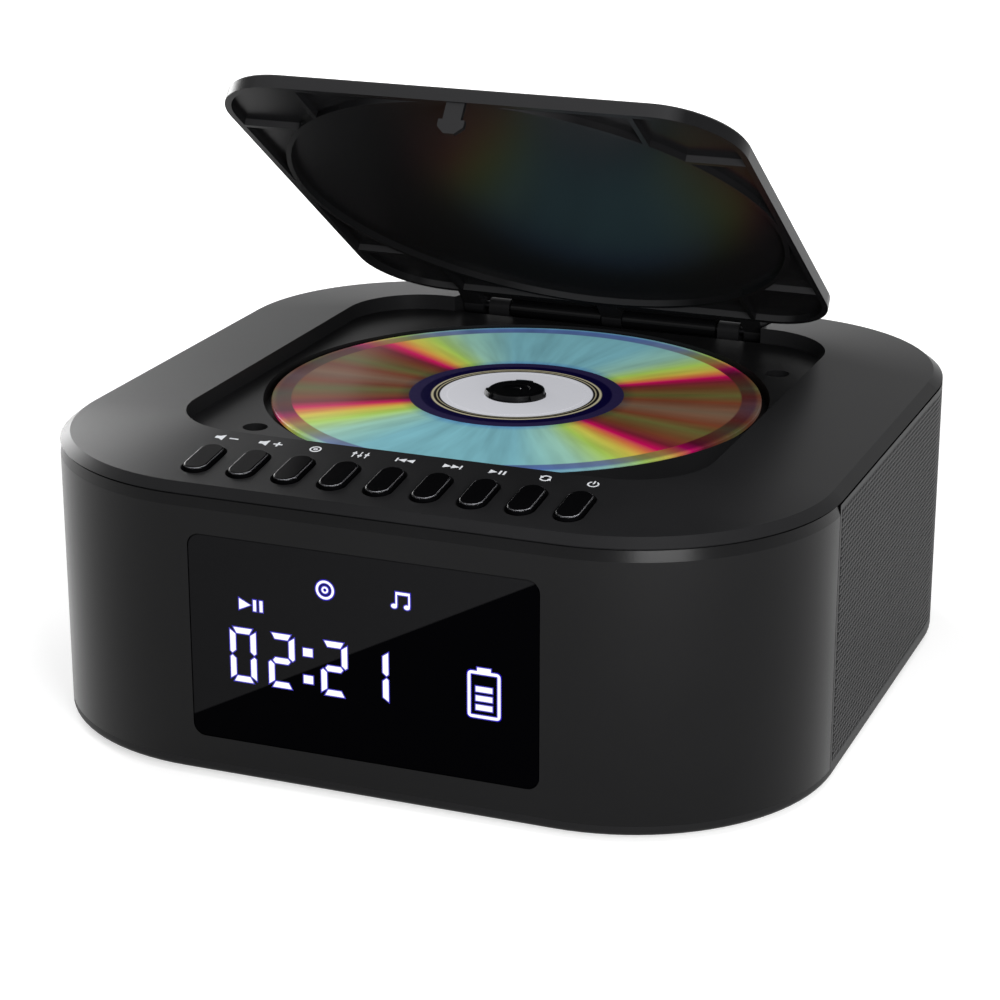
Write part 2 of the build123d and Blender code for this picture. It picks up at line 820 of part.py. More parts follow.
key_board_plane = slope_plane(0, key_row_y).offset(key_board_top)
with BuildPart() as tact_switches:
    for x in key_xs:
        with BuildSketch(key_board_plane):
            with Locations((x, 0)):
                Rectangle(switch_size, switch_size)
        extrude(amount=switch_height - key_travel)
        with BuildSketch(key_board_plane):
            with Locations((x, 0)):
                Circle(key_stem_radius)
        extrude(amount=switch_height)
save(tact_switches.part, "tact_switches")

with BuildPart() as key_board:
    with BuildSketch(key_board_plane):
        Rectangle(key_board_width, key_board_depth)
        with Locations(*key_board_posts):
            Circle(small_screw_radius, mode=Mode.SUBTRACT)
    extrude(amount=-board_thickness)
save(key_board.part, "key_board")

# Lid, drawn closed: thin plate with a rim, a ring round the disc, corner ribs and a hook
rod_axis = Axis((0, hinge_y, hinge_z), (1, 0, 0))
ring_height = lid_under - lid_bottom
lid_corner = well_corner - lid_gap
tongue_rear = hinge_y - tongue_gap
tongue_top = crest_z - tongue_drop
barrel_xs = [-(notch_half - knuckle_gap), -barrel_length / 2, notch_half - knuckle_gap - barrel_length]

with BuildPart() as lid_shell:
    with BuildSketch(Plane.XY.offset(lid_bottom)):
        RectangleRounded(2 * lid_half_x, 2 * lid_half_y, lid_corner)
    extrude(amount=lid_rim_height)
    chamfer(lid_shell.faces().sort_by(Axis.Z)[-1].edges(), lid_edge)
    with BuildSketch(Plane.XY.offset(lid_bottom)):
        RectangleRounded(
            2 * (lid_half_x - lid_rim_wall),
            2 * (lid_half_y - lid_rim_wall),
            lid_corner - lid_rim_wall,
        )
    extrude(amount=ring_height, mode=Mode.SUBTRACT)
    with BuildSketch(Plane.XY.offset(lid_bottom)):
        Circle(lid_ring_radius + lid_ring_wall)
        Circle(lid_ring_radius, mode=Mode.SUBTRACT)
        for side in (-1, 1):
            for end in (-1, 1):
                with Locations((side * front_rib_x, end * (lid_half_y + front_rib_x) / 2)):
                    Rectangle(lid_rib, lid_half_y - front_rib_x)
                with Locations((side * (lid_half_x + front_rib_y) / 2, end * front_rib_y)):
                    Rectangle(lid_half_x - front_rib_y, lid_rib)
        Circle(lid_ring_radius, mode=Mode.SUBTRACT)
        RectangleRounded(
            2 * lid_half_x - lid_rim_wall,
            2 * lid_half_y - lid_rim_wall,
            lid_corner - lid_rim_wall / 2,
            mode=Mode.INTERSECT,
        )
    extrude(amount=ring_height)
    with BuildSketch(Plane.XZ.offset(-hook_y)):
        with BuildLine():
            Polyline(
                (-hook_width / 2, lid_under),
                (-hook_width / 2, lid_under - hook_length + hook_head_length),
                (-hook_head_width / 2, lid_under - hook_length + hook_head_length),
                (-hook_head_width / 2, lid_under - hook_length + hook_head_length / 2),
                (-hook_head_width / 5, lid_under - hook_length),
                (hook_head_width / 5, lid_under - hook_length),
                (hook_head_width / 2, lid_under - hook_length + hook_head_length / 2),
                (hook_head_width / 2, lid_under - hook_length + hook_head_length),
                (hook_width / 2, lid_under - hook_length + hook_head_length),
                (hook_width / 2, lid_under),
                close=True,
            )
        make_face()
    extrude(amount=hook_thickness / 2, both=True)
    with BuildSketch(Plane.XY.offset(tongue_top)):
        with Locations((0, (lid_half_y - lid_rim_wall + tongue_rear) / 2)):
            Rectangle(2 * (notch_half - knuckle_gap), tongue_rear - lid_half_y + lid_rim_wall)
    extrude(amount=-tongue_thickness)
    for x in barrel_xs:
        with BuildSketch(Plane.YZ.offset(x)):
            with Locations((hinge_y, hinge_z)):
                Circle(barrel_radius)
            with BuildLine():
                Polyline(
                    (lid_half_y, tongue_top - tongue_thickness / 2),
                    (tongue_rear, tongue_top),
                    (hinge_y, hinge_z + barrel_radius),
                    (hinge_y, hinge_z - barrel_radius / 2),
                    (lid_half_y, lid_bottom),
                    close=True,
                )
            make_face()
            with Locations((hinge_y, hinge_z)):
                Circle(rod_radius + running_gap, mode=Mode.SUBTRACT)
        extrude(amount=barrel_length)
save(lid_shell.part.rotate(rod_axis, -lid_open_angle), "lid_shell")

with BuildPart() as hinge_rod:
    with BuildSketch(Plane.YZ.offset(-notch_half - rod_seat)):
        with Locations((hinge_y, hinge_z)):
            Circle(rod_radius)
    extrude(amount=2 * (notch_half + rod_seat))
save(hinge_rod.part, "hinge_rod")

coil_r = rod_radius + running_gap + spring_wire
with BuildPart() as lid_spring:
    with BuildLine():
        coil = Helix(
            pitch=spring_pitch,
            height=spring_turns * spring_pitch,
            radius=coil_r,
            center=(spring_x, hinge_y, hinge_z),
            direction=(1, 0, 0),
        )
    with BuildSketch(Plane(origin=coil @ 0, z_dir=coil % 0)):
        Circle(spring_wire)
    sweep()
save(lid_spring.part, "lid_spring")

# Push latch under the slot for the hook
latch_width = hook_head_width + 2 * hook_slot_gap
latch_opening = hook_thickness + 2 * hook_slot_gap
with BuildPart() as touch_latch:
    with BuildSketch(Plane.XY.offset(floor_z)):
        with Locations((0, hook_y)):
            Rectangle(latch_width + 2 * latch_wall, latch_opening + 2 * latch_wall)
    extrude(amount=-latch_height - latch_wall)
    with BuildSketch(Plane.XY.offset(floor_z)):
        with Locations((0, hook_y)):
            Rectangle(latch_width, latch_opening)
    extrude(amount=-latch_height, mode=Mode.SUBTRACT)
save(touch_latch.part, "touch_latch")

# Disc, turntable and hub
with BuildPart() as disc:
    with BuildSketch(Plane.XY.offset(disc_bottom)):
        Circle(disc_radius)
        Circle(disc_hole_radius, mode=Mode.SUBTRACT)
    extrude(amount=disc_thickness)
save(disc.part, "disc")

with BuildPart() as turntable:
    with BuildSketch(Plane.XY.offset(disc_bottom - turntable_height)):
        Circle(turntable_radius)
    extrude(amount=turntable_height)
    with BuildSketch(Plane.XY.offset(deck_top + sled_gap)):
        Circle(hub_radius / 2)
    extrude(amount=disc_bottom - turntable_height - deck_top - sled_gap)
    with BuildSketch(Plane.XY.offset(deck_bottom - spindle_motor_height / 2)):
        Circle(shaft_radius)
    extrude(amount=deck_thickness + sled_gap + spindle_motor_height / 2)
save(turntable.part, "turntable")

with BuildPart() as hub_cap:
    with BuildSketch(Plane.XY.offset(disc_bottom)):
        Circle(hub_radius)
    extrude(amount=hub_height)
    fillet(hub_cap.faces().sort_by(Axis.Z)[-1].edges(), hub_round)
    with BuildSketch(Plane.XY.offset(disc_top)):
        with PolarLocations(hub_radius, hub_tabs):
            Rectangle(hub_round, hub_tab_width)
        with PolarLocations(hub_radius - 2 * hub_round, hub_tabs):
            Rectangle(hub_round, hub_tab_width + 2 * hub_round)
    extrude(amount=hub_height, mode=Mode.SUBTRACT)
save(hub_cap.part, "hub_cap")

# Mechanism deck with lugs for the guide rods, a gear post and a shelf for the feed motor
lug_xs = (
    lens_rest_x - sled_length / 2 - sled_gap - lug_thickness,
    lens_rest_x + sled_travel + sled_length / 2 + sled_gap,
)
rod_length = lug_xs[1] - lug_xs[0] + lug_thickness
rod_places = [(side * rod_spacing / 2, guide_rod_z) for side in (-1, 1)]
rack_pitch_y = -sled_width / 2 - rack_back - dedendum * gear_module
rack_gear_radius = gear_module * rack_gear_teeth / 2
gear_y = rack_pitch_y - rack_gear_radius
pinion_x = gear_x + gear_module * (wheel_teeth + pinion_teeth) / 2
rack_z = guide_rod_z - rack_height / 2
wheel_z = sled_bottom - sled_gap - gear_width
shelf_z = wheel_z - 2 * sled_gap
feed_place = (pinion_x, gear_y)
gear_place = (gear_x, gear_y)

with BuildPart() as mech_deck:
    with BuildSketch(Plane.XY.offset(deck_bottom)):
        with Locations(((deck_x0 + deck_x1) / 2, (deck_y0 + deck_y1) / 2)):
            RectangleRounded(deck_x1 - deck_x0, deck_y1 - deck_y0, lug_size)
        Circle(shaft_radius + sled_gap, mode=Mode.SUBTRACT)
        with Locations(*damper_posts):
            Circle(small_screw_radius, mode=Mode.SUBTRACT)
        with Locations((lens_rest_x + sled_travel / 2, 0)):
            Rectangle(
                sled_travel + lens_tower + 2 * tower_gap,
                lens_tower + 2 * tower_gap,
                mode=Mode.SUBTRACT,
            )
    extrude(amount=deck_thickness)
    for x in lug_xs:
        with BuildSketch(Plane.YZ.offset(x)):
            for y, z in rod_places:
                with Locations((y, deck_bottom)):
                    Rectangle(lug_size, deck_bottom - z + lug_size / 2, align=(Align.CENTER, Align.MAX))
            with Locations(*rod_places):
                Circle(guide_rod_radius, mode=Mode.SUBTRACT)
        extrude(amount=lug_thickness)
    with BuildSketch(Plane.XY.offset(wheel_z - sled_gap)):
        with Locations(gear_place):
            Circle(gear_post_radius)
    extrude(amount=deck_bottom - wheel_z + sled_gap)
    with BuildSketch(Plane.XY.offset(deck_bottom)):
        with Locations((pinion_x, deck_y0)):
            Rectangle(2 * feed_motor_radius, deck_thickness, align=(Align.CENTER, Align.MIN))
    extrude(amount=shelf_z - deck_thickness - deck_bottom)
    with BuildSketch(Plane.XY.offset(shelf_z)):
        with Locations((pinion_x, deck_y0)):
            Rectangle(
                2 * feed_motor_radius,
                gear_y - deck_y0 + feed_motor_radius / 2,
                align=(Align.CENTER, Align.MIN),
            )
        with Locations(feed_place):
            Circle(feed_shaft_radius + sled_gap, mode=Mode.SUBTRACT)
    extrude(amount=-deck_thickness)
save(mech_deck.part, "mech_deck")

with BuildPart() as guide_rods:
    with BuildSketch(Plane.YZ.offset(lug_xs[0])):
        with Locations(*rod_places):
            Circle(guide_rod_radius)
    extrude(amount=rod_length)
save(guide_rods.part, "guide_rods")

# Rubber dampers between the deck and the cover's posts, and the screws through them
with BuildPart() as deck_dampers:
    with BuildSketch(Plane.XY.offset(deck_top)):
        with Locations(*damper_posts):
            Circle(damper_radius + damper_flange)
            Circle(small_screw_radius, mode=Mode.SUBTRACT)
    extrude(amount=damper_height)
save(deck_dampers.part, "deck_dampers")


def motor(x, y, top, radius, height, shaft):
    """A can motor whose top face carries it, with a bore for its turning shaft."""
    with BuildPart() as can:
        with BuildSketch(Plane.XY.offset(top)):
            with Locations((x, y)):
                Circle(radius)
        extrude(amount=-height)
        chamfer(can.faces().sort_by(Axis.Z)[0].edges(), hub_round)
        with BuildSketch(Plane.XY.offset(top)):
            with Locations((x, y)):
                Circle(shaft + running_gap)
        extrude(amount=-height / 2 - sled_gap, mode=Mode.SUBTRACT)
    return can.part


feed_motor_top = shelf_z - deck_thickness
spindle_motor = motor(0, 0, deck_bottom, spindle_motor_radius, spindle_motor_height, shaft_radius)
feed_motor = motor(pinion_x, gear_y, feed_motor_top, feed_motor_radius, feed_motor_height, feed_shaft_radius)
save(spindle_motor, "spindle_motor")
save(feed_motor, "feed_motor")

# Pickup sled on the rods, with its lens tower and the feed rack along one side
with BuildPart() as pickup_sled:
    with BuildSketch(Plane.XY.offset(sled_bottom)):
        with Locations((lens_rest_x, 0)):
            Rectangle(sled_length, sled_width)
    extrude(amount=sled_height)
    chamfer(pickup_sled.edges().filter_by(Axis.Z), hub_round)
    with BuildSketch(Plane.YZ.offset(lens_rest_x - sled_length / 2)):
        with Locations(*rod_places):
            Circle(guide_rod_radius + running_gap)
    extrude(amount=sled_length, mode=Mode.SUBTRACT)
save(pickup_sled.part, "pickup_sled")

with BuildPart() as lens_holder:
    with BuildSketch(Plane.XY.offset(sled_top)):
        with Locations((lens_rest_x, 0)):
            RectangleRounded(lens_tower, lens_tower, 2 * hub_round)
    extrude(amount=lens_tower_height)
save(lens_holder.part, "lens_holder")

with BuildPart() as lens:
    with BuildSketch(Plane.XY.offset(sled_top + lens_tower_height)):
        with Locations((lens_rest_x, 0)):
            Circle(lens_radius)
    extrude(amount=lens_height)
    fillet(lens.faces().sort_by(Axis.Z)[-1].edges(), lens_height / 2)
save(lens.part, "lens")

with BuildPart() as feed_rack:
    with BuildSketch(Plane((0, rack_pitch_y, rack_z))):
        with BuildLine():
            Polyline(*rack_points(lens_rest_x - rack_behind, lens_rest_x + rack_ahead, gear_x), close=True)
        make_face()
    extrude(amount=rack_height)
save(feed_rack.part, "feed_rack")

# Transfer gear: small gear on the rack, joined to a large wheel that the pinion drives
with BuildPart() as transfer_gear:
    with BuildSketch(Plane((gear_x, gear_y, rack_z))):
        with BuildLine():
            Polyline(*gear_points(rack_gear_teeth, 0), close=True)
        make_face()
    extrude(amount=rack_height)
    with BuildSketch(Plane((gear_x, gear_y, wheel_z))):
        with BuildLine():
            Polyline(*gear_points(wheel_teeth, 0), close=True)
        make_face()
    extrude(amount=gear_width)
    with BuildSketch(Plane((gear_x, gear_y, wheel_z))):
        Circle(rack_gear_radius - dedendum * gear_module)
    extrude(amount=rack_z - wheel_z)
    with BuildSketch(Plane((gear_x, gear_y, wheel_z))):
        Circle(gear_post_radius + running_gap)
    extrude(amount=deck_bottom - wheel_z, mode=Mode.SUBTRACT)
save(transfer_gear.part, "transfer_gear")

with BuildPart() as feed_pinion:
    with BuildSketch(Plane((pinion_x, gear_y, wheel_z))):
        with BuildLine():
            Polyline(*gear_points(pinion_teeth, pi / pinion_teeth), close=True)
        make_face()
    extrude(amount=gear_width)
    with BuildSketch(Plane((pinion_x, gear_y, wheel_z))):
        Circle(feed_shaft_radius)
    extrude(amount=feed_motor_top - feed_motor_height / 2 - wheel_z)
save(feed_pinion.part, "feed_pinion")

# Main board with its packages, and the battery in a tray
with BuildPart() as main_board:
    with BuildSketch(Plane.XY.offset(board_z)):
        with Locations((0, main_board_y)):
            Rectangle(main_board_width, main_board_depth)
        with Locations(*board_posts):
            Circle(small_screw_radius, mode=Mode.SUBTRACT)
    extrude(amount=board_thickness)
save(main_board.part, "main_board")

with BuildPart() as board_parts:
    with BuildSketch(Plane.XY.offset(board_z + board_thickness)):
        with Locations((-chip_size, main_board_y), (1.5 * chip_size, main_board_y + chip_size)):
            Rectangle(chip_size, chip_size)
        with Locations((chip_size, main_board_y - chip_size)):
            Rectangle(2 * chip_size, chip_size / 2)
    extrude(amount=chip_height)
    with BuildSketch(Plane.XY.offset(board_z + board_thickness)):
        with Locations((-chip_size, main_board_y + 1.5 * chip_size)):
            with GridLocations(chip_size, chip_size, 3, 1):
                Circle(chip_size / 4)
    extrude(amount=chip_size)
save(board_parts.part, "board_parts")

# Small screws of the main board, the deck, the display board and the key board
screw_groups = [
    (Plane.XY.offset(board_z + board_thickness), board_posts, 1),
    (Plane.XY.offset(deck_bottom), damper_posts, -1),
    (Plane.XZ.offset(-module_back - board_thickness), display_posts, -1),
    (key_board_plane.offset(-board_thickness), key_board_posts, -1),
]
with BuildPart() as board_screws:
    for seat, places, away in screw_groups:
        with BuildSketch(seat):
            with Locations(*places):
                Circle(small_head_radius)
        extrude(amount=away * small_head_height)
        with BuildSketch(seat):
            with Locations(*places):
                Circle(small_screw_radius)
        extrude(amount=-away * small_screw_length)
save(board_screws.part, "board_screws")

cell_z = plate_top + tray_wall + cell_radius
cell_ys = (cell_y - cell_radius - running_gap, cell_y + cell_radius + running_gap)
with BuildPart() as battery_tray:
    with BuildSketch(Plane.XY.offset(plate_top)):
        with Locations((0, cell_y)):
            Rectangle(cell_length + 2 * tray_wall + fit_gap, 4 * cell_radius + 2 * tray_wall + 2 * fit_gap)
    extrude(amount=cell_radius + tray_wall)
    with BuildSketch(Plane.XY.offset(plate_top + tray_wall)):
        with Locations((0, cell_y)):
            Rectangle(cell_length + fit_gap, 4 * cell_radius + 2 * fit_gap)
    extrude(amount=2 * cell_radius, mode=Mode.SUBTRACT)
save(battery_tray.part, "battery_tray")

with BuildPart() as battery_cells:
    with BuildSketch(Plane.YZ.offset(-cell_length / 2)):
        with Locations(*[(y, cell_z) for y in cell_ys]):
            Circle(cell_radius)
    extrude(amount=cell_length)
save(battery_cells.part, "battery_cells")

# Rear sockets: a data socket, an audio jack and the charging inlet
rear_plane = Plane.XZ.offset(-body_depth / 2)
with BuildPart() as usb_socket:
    with BuildSketch(rear_plane):
        with Locations((usb_x, socket_z)):
            Rectangle(usb_width, usb_height)
    extrude(amount=usb_depth)
    with BuildSketch(rear_plane):
        with Locations((usb_x, socket_z)):
            Rectangle(usb_width - 2 * usb_wall, usb_height - 2 * usb_wall)
        with Locations((usb_x, socket_z + usb_height / 4)):
            Rectangle(usb_width - 4 * usb_wall, 2 * usb_wall, mode=Mode.SUBTRACT)
    extrude(amount=usb_depth - usb_wall, mode=Mode.SUBTRACT)
save(usb_socket.part, "usb_socket")

with BuildPart() as audio_jack:
    with BuildSketch(rear_plane):
        with Locations((jack_x, socket_z)):
            Circle(jack_radius)
    extrude(amount=wall)
    with BuildSketch(Plane.XZ.offset(-jack_face)):
        with Locations((jack_x, socket_z)):
            Rectangle(2 * jack_radius + wall, 2 * jack_radius)
    extrude(amount=jack_depth)
    with BuildSketch(rear_plane):
        with Locations((jack_x, socket_z)):
            Circle(jack_bore)
    extrude(amount=jack_depth, mode=Mode.SUBTRACT)
save(audio_jack.part, "audio_jack")

with BuildPart() as charge_inlet:
    with BuildSketch(rear_plane):
        with Locations((inlet_x, socket_z)):
            SlotOverall(inlet_width, inlet_height)
    extrude(amount=inlet_depth)
    with BuildSketch(rear_plane):
        with Locations((inlet_x, socket_z)):
            SlotOverall(inlet_width - 2 * inlet_wall, inlet_height - 2 * inlet_wall)
            Rectangle(inlet_width - 3 * inlet_height / 2, inlet_wall, mode=Mode.SUBTRACT)
    extrude(amount=inlet_depth - inlet_wall, mode=Mode.SUBTRACT)
save(charge_inlet.part, "charge_inlet")
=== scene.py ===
from math import asin, atan2, cos, pi, radians, sin

import bmesh
import bpy
from mathutils import Matrix, Vector


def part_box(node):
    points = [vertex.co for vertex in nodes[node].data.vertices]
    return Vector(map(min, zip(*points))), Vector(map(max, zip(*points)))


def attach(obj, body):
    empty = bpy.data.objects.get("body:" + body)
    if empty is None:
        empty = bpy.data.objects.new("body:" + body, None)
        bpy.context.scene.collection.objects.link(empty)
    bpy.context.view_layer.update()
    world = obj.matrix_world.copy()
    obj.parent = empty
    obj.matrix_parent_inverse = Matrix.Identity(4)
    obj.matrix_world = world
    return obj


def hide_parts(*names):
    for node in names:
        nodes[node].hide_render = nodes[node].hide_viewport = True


# Looks of a portable top-loading disc player with its lid open: black plastic,
# a bright disc on its hub, a lit display and two perforated side grilles.
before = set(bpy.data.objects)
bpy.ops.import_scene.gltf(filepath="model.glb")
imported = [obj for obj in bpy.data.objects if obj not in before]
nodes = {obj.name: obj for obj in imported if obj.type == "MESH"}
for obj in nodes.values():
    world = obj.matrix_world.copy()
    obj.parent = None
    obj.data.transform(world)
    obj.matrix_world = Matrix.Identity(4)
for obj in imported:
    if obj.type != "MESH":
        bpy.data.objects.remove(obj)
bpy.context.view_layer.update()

# Shapes are written in millimetres and scaled once, when their mesh is made
MM = 0.001

# Camera that the photograph was taken with
CAMERA_AZIMUTH = 21.605
CAMERA_ELEVATION = 19.199
CAMERA_DISTANCE = 716.3
CAMERA_RIGHT = -4.03
CAMERA_UP = 37.98
CAMERA_FOOT = 1.5
CAMERA_LENS = 101.71

# Case, and the slope of its top cover behind the front rim
BODY_WIDTH = 189.4
BODY_DEPTH = 188.4
CORNER_RADIUS = 49.5
RIM_INSET = 2.4
RIM_Z = 70.15
CROWN_RISE = 3.45
CROWN_RUN = 27.3
CROWN_TILT = atan2(CROWN_RISE, CROWN_RUN)

# Grains of the plastics and metals: noise scales per metre, and bump heights in metres
SLOW_GRAIN = 26
FINE_GRAIN = 2600
BRUSH_GRAIN = 900
PLASTIC_BUMP = 0.00004
METAL_BUMP = 0.00002

# Signs on the cover
LABEL_Y = -68.2
SIGN_HEIGHT = 2.8
ARROW_HEIGHT = 1.75
PRINT_THICKNESS = 0.04

# Figures on the display: lower left corners of the digits, and middles of the rest
DIGIT_FOOT = 23.7
DIGIT_HEIGHT = 13.0
DIGIT_WIDTH = 6.4
DIGIT_STROKE = 1.35
DIGITS = (("0", -32.1), ("2", -22.6), ("2", -9.7), ("1", 0.2))
SEGMENTS = {"0": "abcdef", "1": "bc", "2": "abged"}
COLON_X = -12.9
COLON_HEIGHTS = (26.7, 33.2)
COLON_SIZE = (2.3, 1.9)
DISPLAY_PLAY = (-26.4, 42.5, 2.65)
DISPLAY_DISC = (-8.4, 48.7, 4.4)
DISPLAY_NOTE = (9.7, 48.7, 3.8)
BATTERY = (29.25, 29.5, 7.7, 11.0, 0.9, 0.68)
BATTERY_CAP = (29.25, 35.4, 3.2, 0.9)
BATTERY_LEVELS = 3
BATTERY_LEVEL = (29.25, 26.5, 3.9, 1.25)
BATTERY_STEP = 2.15
HALO_WIDTH = 0.24

# Disc: sizes, then the numbers of its looks
DISC_TOP = 69.3
DISC_THICKNESS = 1.2
DISC_RADIUS = 60.0
DISC_HOLE = 7.5
CLEAR_RADIUS = 19.2
MIRROR_RADIUS = 26.4
DATA_RADIUS = 55.2
DISC_EDGE = 0.2
STACK_RIDGE = 0.1
DISC_STEPS = 192
# painted glow of the disc's colours, though the disc is no lamp
DISC_PAINTED_GLOW = 0.5
DISC_DIFFUSE = 0.35
BAND_SHIFT = -6.0
STREAKS = 70.0
STREAK_CHANGE = 0.035
STREAK_DEPTH = 0.14

# Spectrum that the disc's tracks throw, painted on as a painted reflection, from the middle of a bright fan
# outwards.
# Distances are parts of half a fan; past 1 comes the dull part with a faint second order.
PALE_BLUE = (130, 190, 202)
SEA_GREEN = (160, 210, 190)
LIME = (184, 220, 100)
YELLOW = (220, 202, 84)
ORANGE = (228, 128, 74)
MAGENTA = (212, 14, 96)
WINE = (120, 36, 50)
OLIVE = (102, 100, 54)
RUST = (120, 64, 42)
TAN = (124, 108, 88)
REFLECTION_SPECTRUM = [
    (0.0, PALE_BLUE), (0.35, PALE_BLUE), (0.6, SEA_GREEN), (0.76, LIME), (0.86, YELLOW), (0.93, ORANGE),
    (0.985, MAGENTA), (1.06, WINE), (1.14, RUST), (1.3, OLIVE), (1.42, RUST), (1.65, TAN),
]
# Middle and half width of the two bright fans of painted reflection, in degrees from the camera's right
REFLECTION_FANS = ((71, 56), (249, 58))
# Plain colours of the clear hub, the lines of the stacking rings, which are painted shade and painted
# highlight along the ridge, and the mirror band, which is a painted reflection
HUB_WHITE = (232, 233, 240)
RING_PAINTED_SHADE = (20, 17, 20)
RING_PAINTED_HIGHLIGHT = (200, 192, 160)
MIRROR_REFLECTION_NAVY = (10, 5, 48)
MIRROR_REFLECTION_HAZE = (40, 34, 70)
# Radii where those colours of the hub start and end
HUB_RINGS = [
    (DISC_HOLE, HUB_WHITE), (18.7, HUB_WHITE), (18.9, RING_PAINTED_SHADE), (19.3, RING_PAINTED_SHADE), (19.5, RING_PAINTED_HIGHLIGHT),
    (19.8, RING_PAINTED_SHADE), (20.3, RING_PAINTED_SHADE), (20.5, RING_PAINTED_HIGHLIGHT), (20.8, RING_PAINTED_HIGHLIGHT), (21.1, MIRROR_REFLECTION_NAVY),
    (23.3, MIRROR_REFLECTION_NAVY), (23.7, MIRROR_REFLECTION_HAZE), (MIRROR_RADIUS, MIRROR_REFLECTION_HAZE),
]

# Floor, in metres
FLOOR_SIZE = 6.0
FLOOR_NEAR = 0.2
FLOOR_FAR = 0.55
FLOOR_GLOW = 0.57

# Lamps: name, place, target and width in metres, and power in watts
LAMPS = (
    ("lamp_left", (-1.3, 0.9, 0.5), (0, 0, 0.05), 0.9, 26),
    ("lamp_top", (0.3, -0.2, 1.2), (0, 0, 0.05), 0.5, 3),
    ("lamp_front", (0.26, -0.36, 0.16), (0.08, -0.09, 0.04), 0.2, 1.8),
)

# Snap hub, with angles in degrees
HUB_TABS = 3
HUB_TAB_TURN = 215
HUB_TAB_HALF = 17
HUB_SINK = 0.6
HUB_RADIUS = 7.3
HUB_NECK = 7.0
HUB_STEPS = 96

# Hinge sleeves of the lid
HINGE_Y = 72.2
HINGE_Z = 70.0
SLEEVES = ((-28.9, -3.1), (3.1, 28.9))
SLEEVE_RADIUS = 2.45
SLEEVE_BORE = 2.1
SLEEVE_SIDES = 32
LID_ANGLE = 35.4
# Web from a sleeve to the lid's tongue: start and end along Y, bottom and top
WEB = (-3.1, 0.4, 1.35, 2.4)

# Bright edges of the keys, a painted highlight: insets and depths below the key's top
KEY_Y = -80.0
KEY_WIDTH = 5.7
KEY_LENGTH = 13.2
KEY_PROUD = 1.0
KEY_RIM = ((0.04, 0.3), (0.16, 0.12), (0.2, 0.16), (0.08, 0.34))

# Slant of the paler half of the window, a painted reflection
REFLECTION_SLANT_FOOT = 37.0
REFLECTION_SLANT_SLOPE = 0.52
REFLECTION_SLANT_BLUR = 0.4

# Side grilles
HOLE_PITCH = 1.3
HOLE_RADIUS = 0.46
HOLE_DEPTH = 0.5
HOLE_SIDES = 6
GRILLE_BORDER = 0.7
GRILLE_EDGE_STEPS = 40


def corners(node):
    """Lowest and highest corner of a node, in millimetres."""
    low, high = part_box(node)
    return low / MM, high / MM


def linear(*srgb):
    """A colour given as 0 to 255 values, made linear for a shader."""
    out = []
    for value in srgb:
        part = value / 255
        out.append(part / 12.92 if part <= 0.04045 else ((part + 0.055) / 1.055) ** 2.4)
    return (*out, 1.0)


def grey(value):
    """A grey that is linear already."""
    return (value, value, value, 1)


def scaled(colour, factor):
    """A colour made darker or lighter, with its alpha kept."""
    return tuple(min(1, factor * part) for part in colour[:3]) + (1,)


# Sockets of a colour mix
SLOTS = {"Factor": 0, "A": 6, "B": 7}


class Shader:
    """A material with one principled shader and short ways to add nodes to it."""

    def __init__(self, name):
        self.material = bpy.data.materials.new(name)
        self.material.use_nodes = True
        self.tree = self.material.node_tree
        self.shader = self.tree.nodes["Principled BSDF"]
        self.output = self.tree.nodes["Material Output"]

    def node(self, kind, **values):
        made = self.tree.nodes.new(kind)
        for key, value in values.items():
            setattr(made, key, value)
        return made

    def link(self, source, target):
        self.tree.links.new(source, target)

    def set(self, **values):
        for key, value in values.items():
            self.shader.inputs[key.replace("_", " ")].default_value = value

    def math(self, operation, first, second=None):
        """One step of arithmetic on sockets or plain numbers."""
        made = self.node("ShaderNodeMath", operation=operation)
        for slot, value in enumerate((first, second)):
            if value is None:
                continue
            if isinstance(value, (int, float)):
                made.inputs[slot].default_value = value
            else:
                self.link(value, made.inputs[slot])
        return made.outputs[0]

    def noise(self, scale, detail=3.0, stretch=(1, 1, 1)):
        """Noise in object space, in metres times scale."""
        place = self.node("ShaderNodeTexCoord")
        mapping = self.node("ShaderNodeMapping")
        mapping.inputs["Scale"].default_value = stretch
        self.link(place.outputs["Object"], mapping.inputs["Vector"])
        made = self.node("ShaderNodeTexNoise")
        made.inputs["Scale"].default_value = scale
        made.inputs["Detail"].default_value = detail
        self.link(mapping.outputs["Vector"], made.inputs["Vector"])
        return made.outputs["Fac"]

    def spread(self, factor, low, high):
        """A factor from 0 to 1 turned into a number from low to high."""
        made = self.node("ShaderNodeMapRange")
        made.inputs["To Min"].default_value = low
        made.inputs["To Max"].default_value = high
        self.link(factor, made.inputs["Value"])
        return made.outputs["Result"]

    def ramp(self, factor, stops):
        """A colour from stops of (place, colour), looked up by a factor."""
        made = self.node("ShaderNodeValToRGB")
        points = made.color_ramp.elements
        while len(points) < len(stops):
            points.new(0.5)
        for point, (place, colour) in zip(points, sorted(stops)):
            point.position = place
            point.color = colour
        self.link(factor, made.inputs["Fac"])
        return made.outputs["Color"]

    def mix(self, kind, factor, first, second):
        """Two colours mixed; the second may be a plain colour."""
        made = self.node("ShaderNodeMix", data_type="RGBA", blend_type=kind)
        for slot, value in (("Factor", factor), ("A", first), ("B", second)):
            if isinstance(value, (int, float, tuple)):
                made.inputs[SLOTS[slot]].default_value = value
            else:
                self.link(value, made.inputs[SLOTS[slot]])
        return made.outputs[2]

    def bump(self, height, strength, distance):
        """Relief in the shading; distance is its height in metres."""
        made = self.node("ShaderNodeBump")
        made.inputs["Strength"].default_value = strength
        made.inputs["Distance"].default_value = distance
        self.link(height, made.inputs["Height"])
        self.link(made.outputs["Normal"], self.shader.inputs["Normal"])


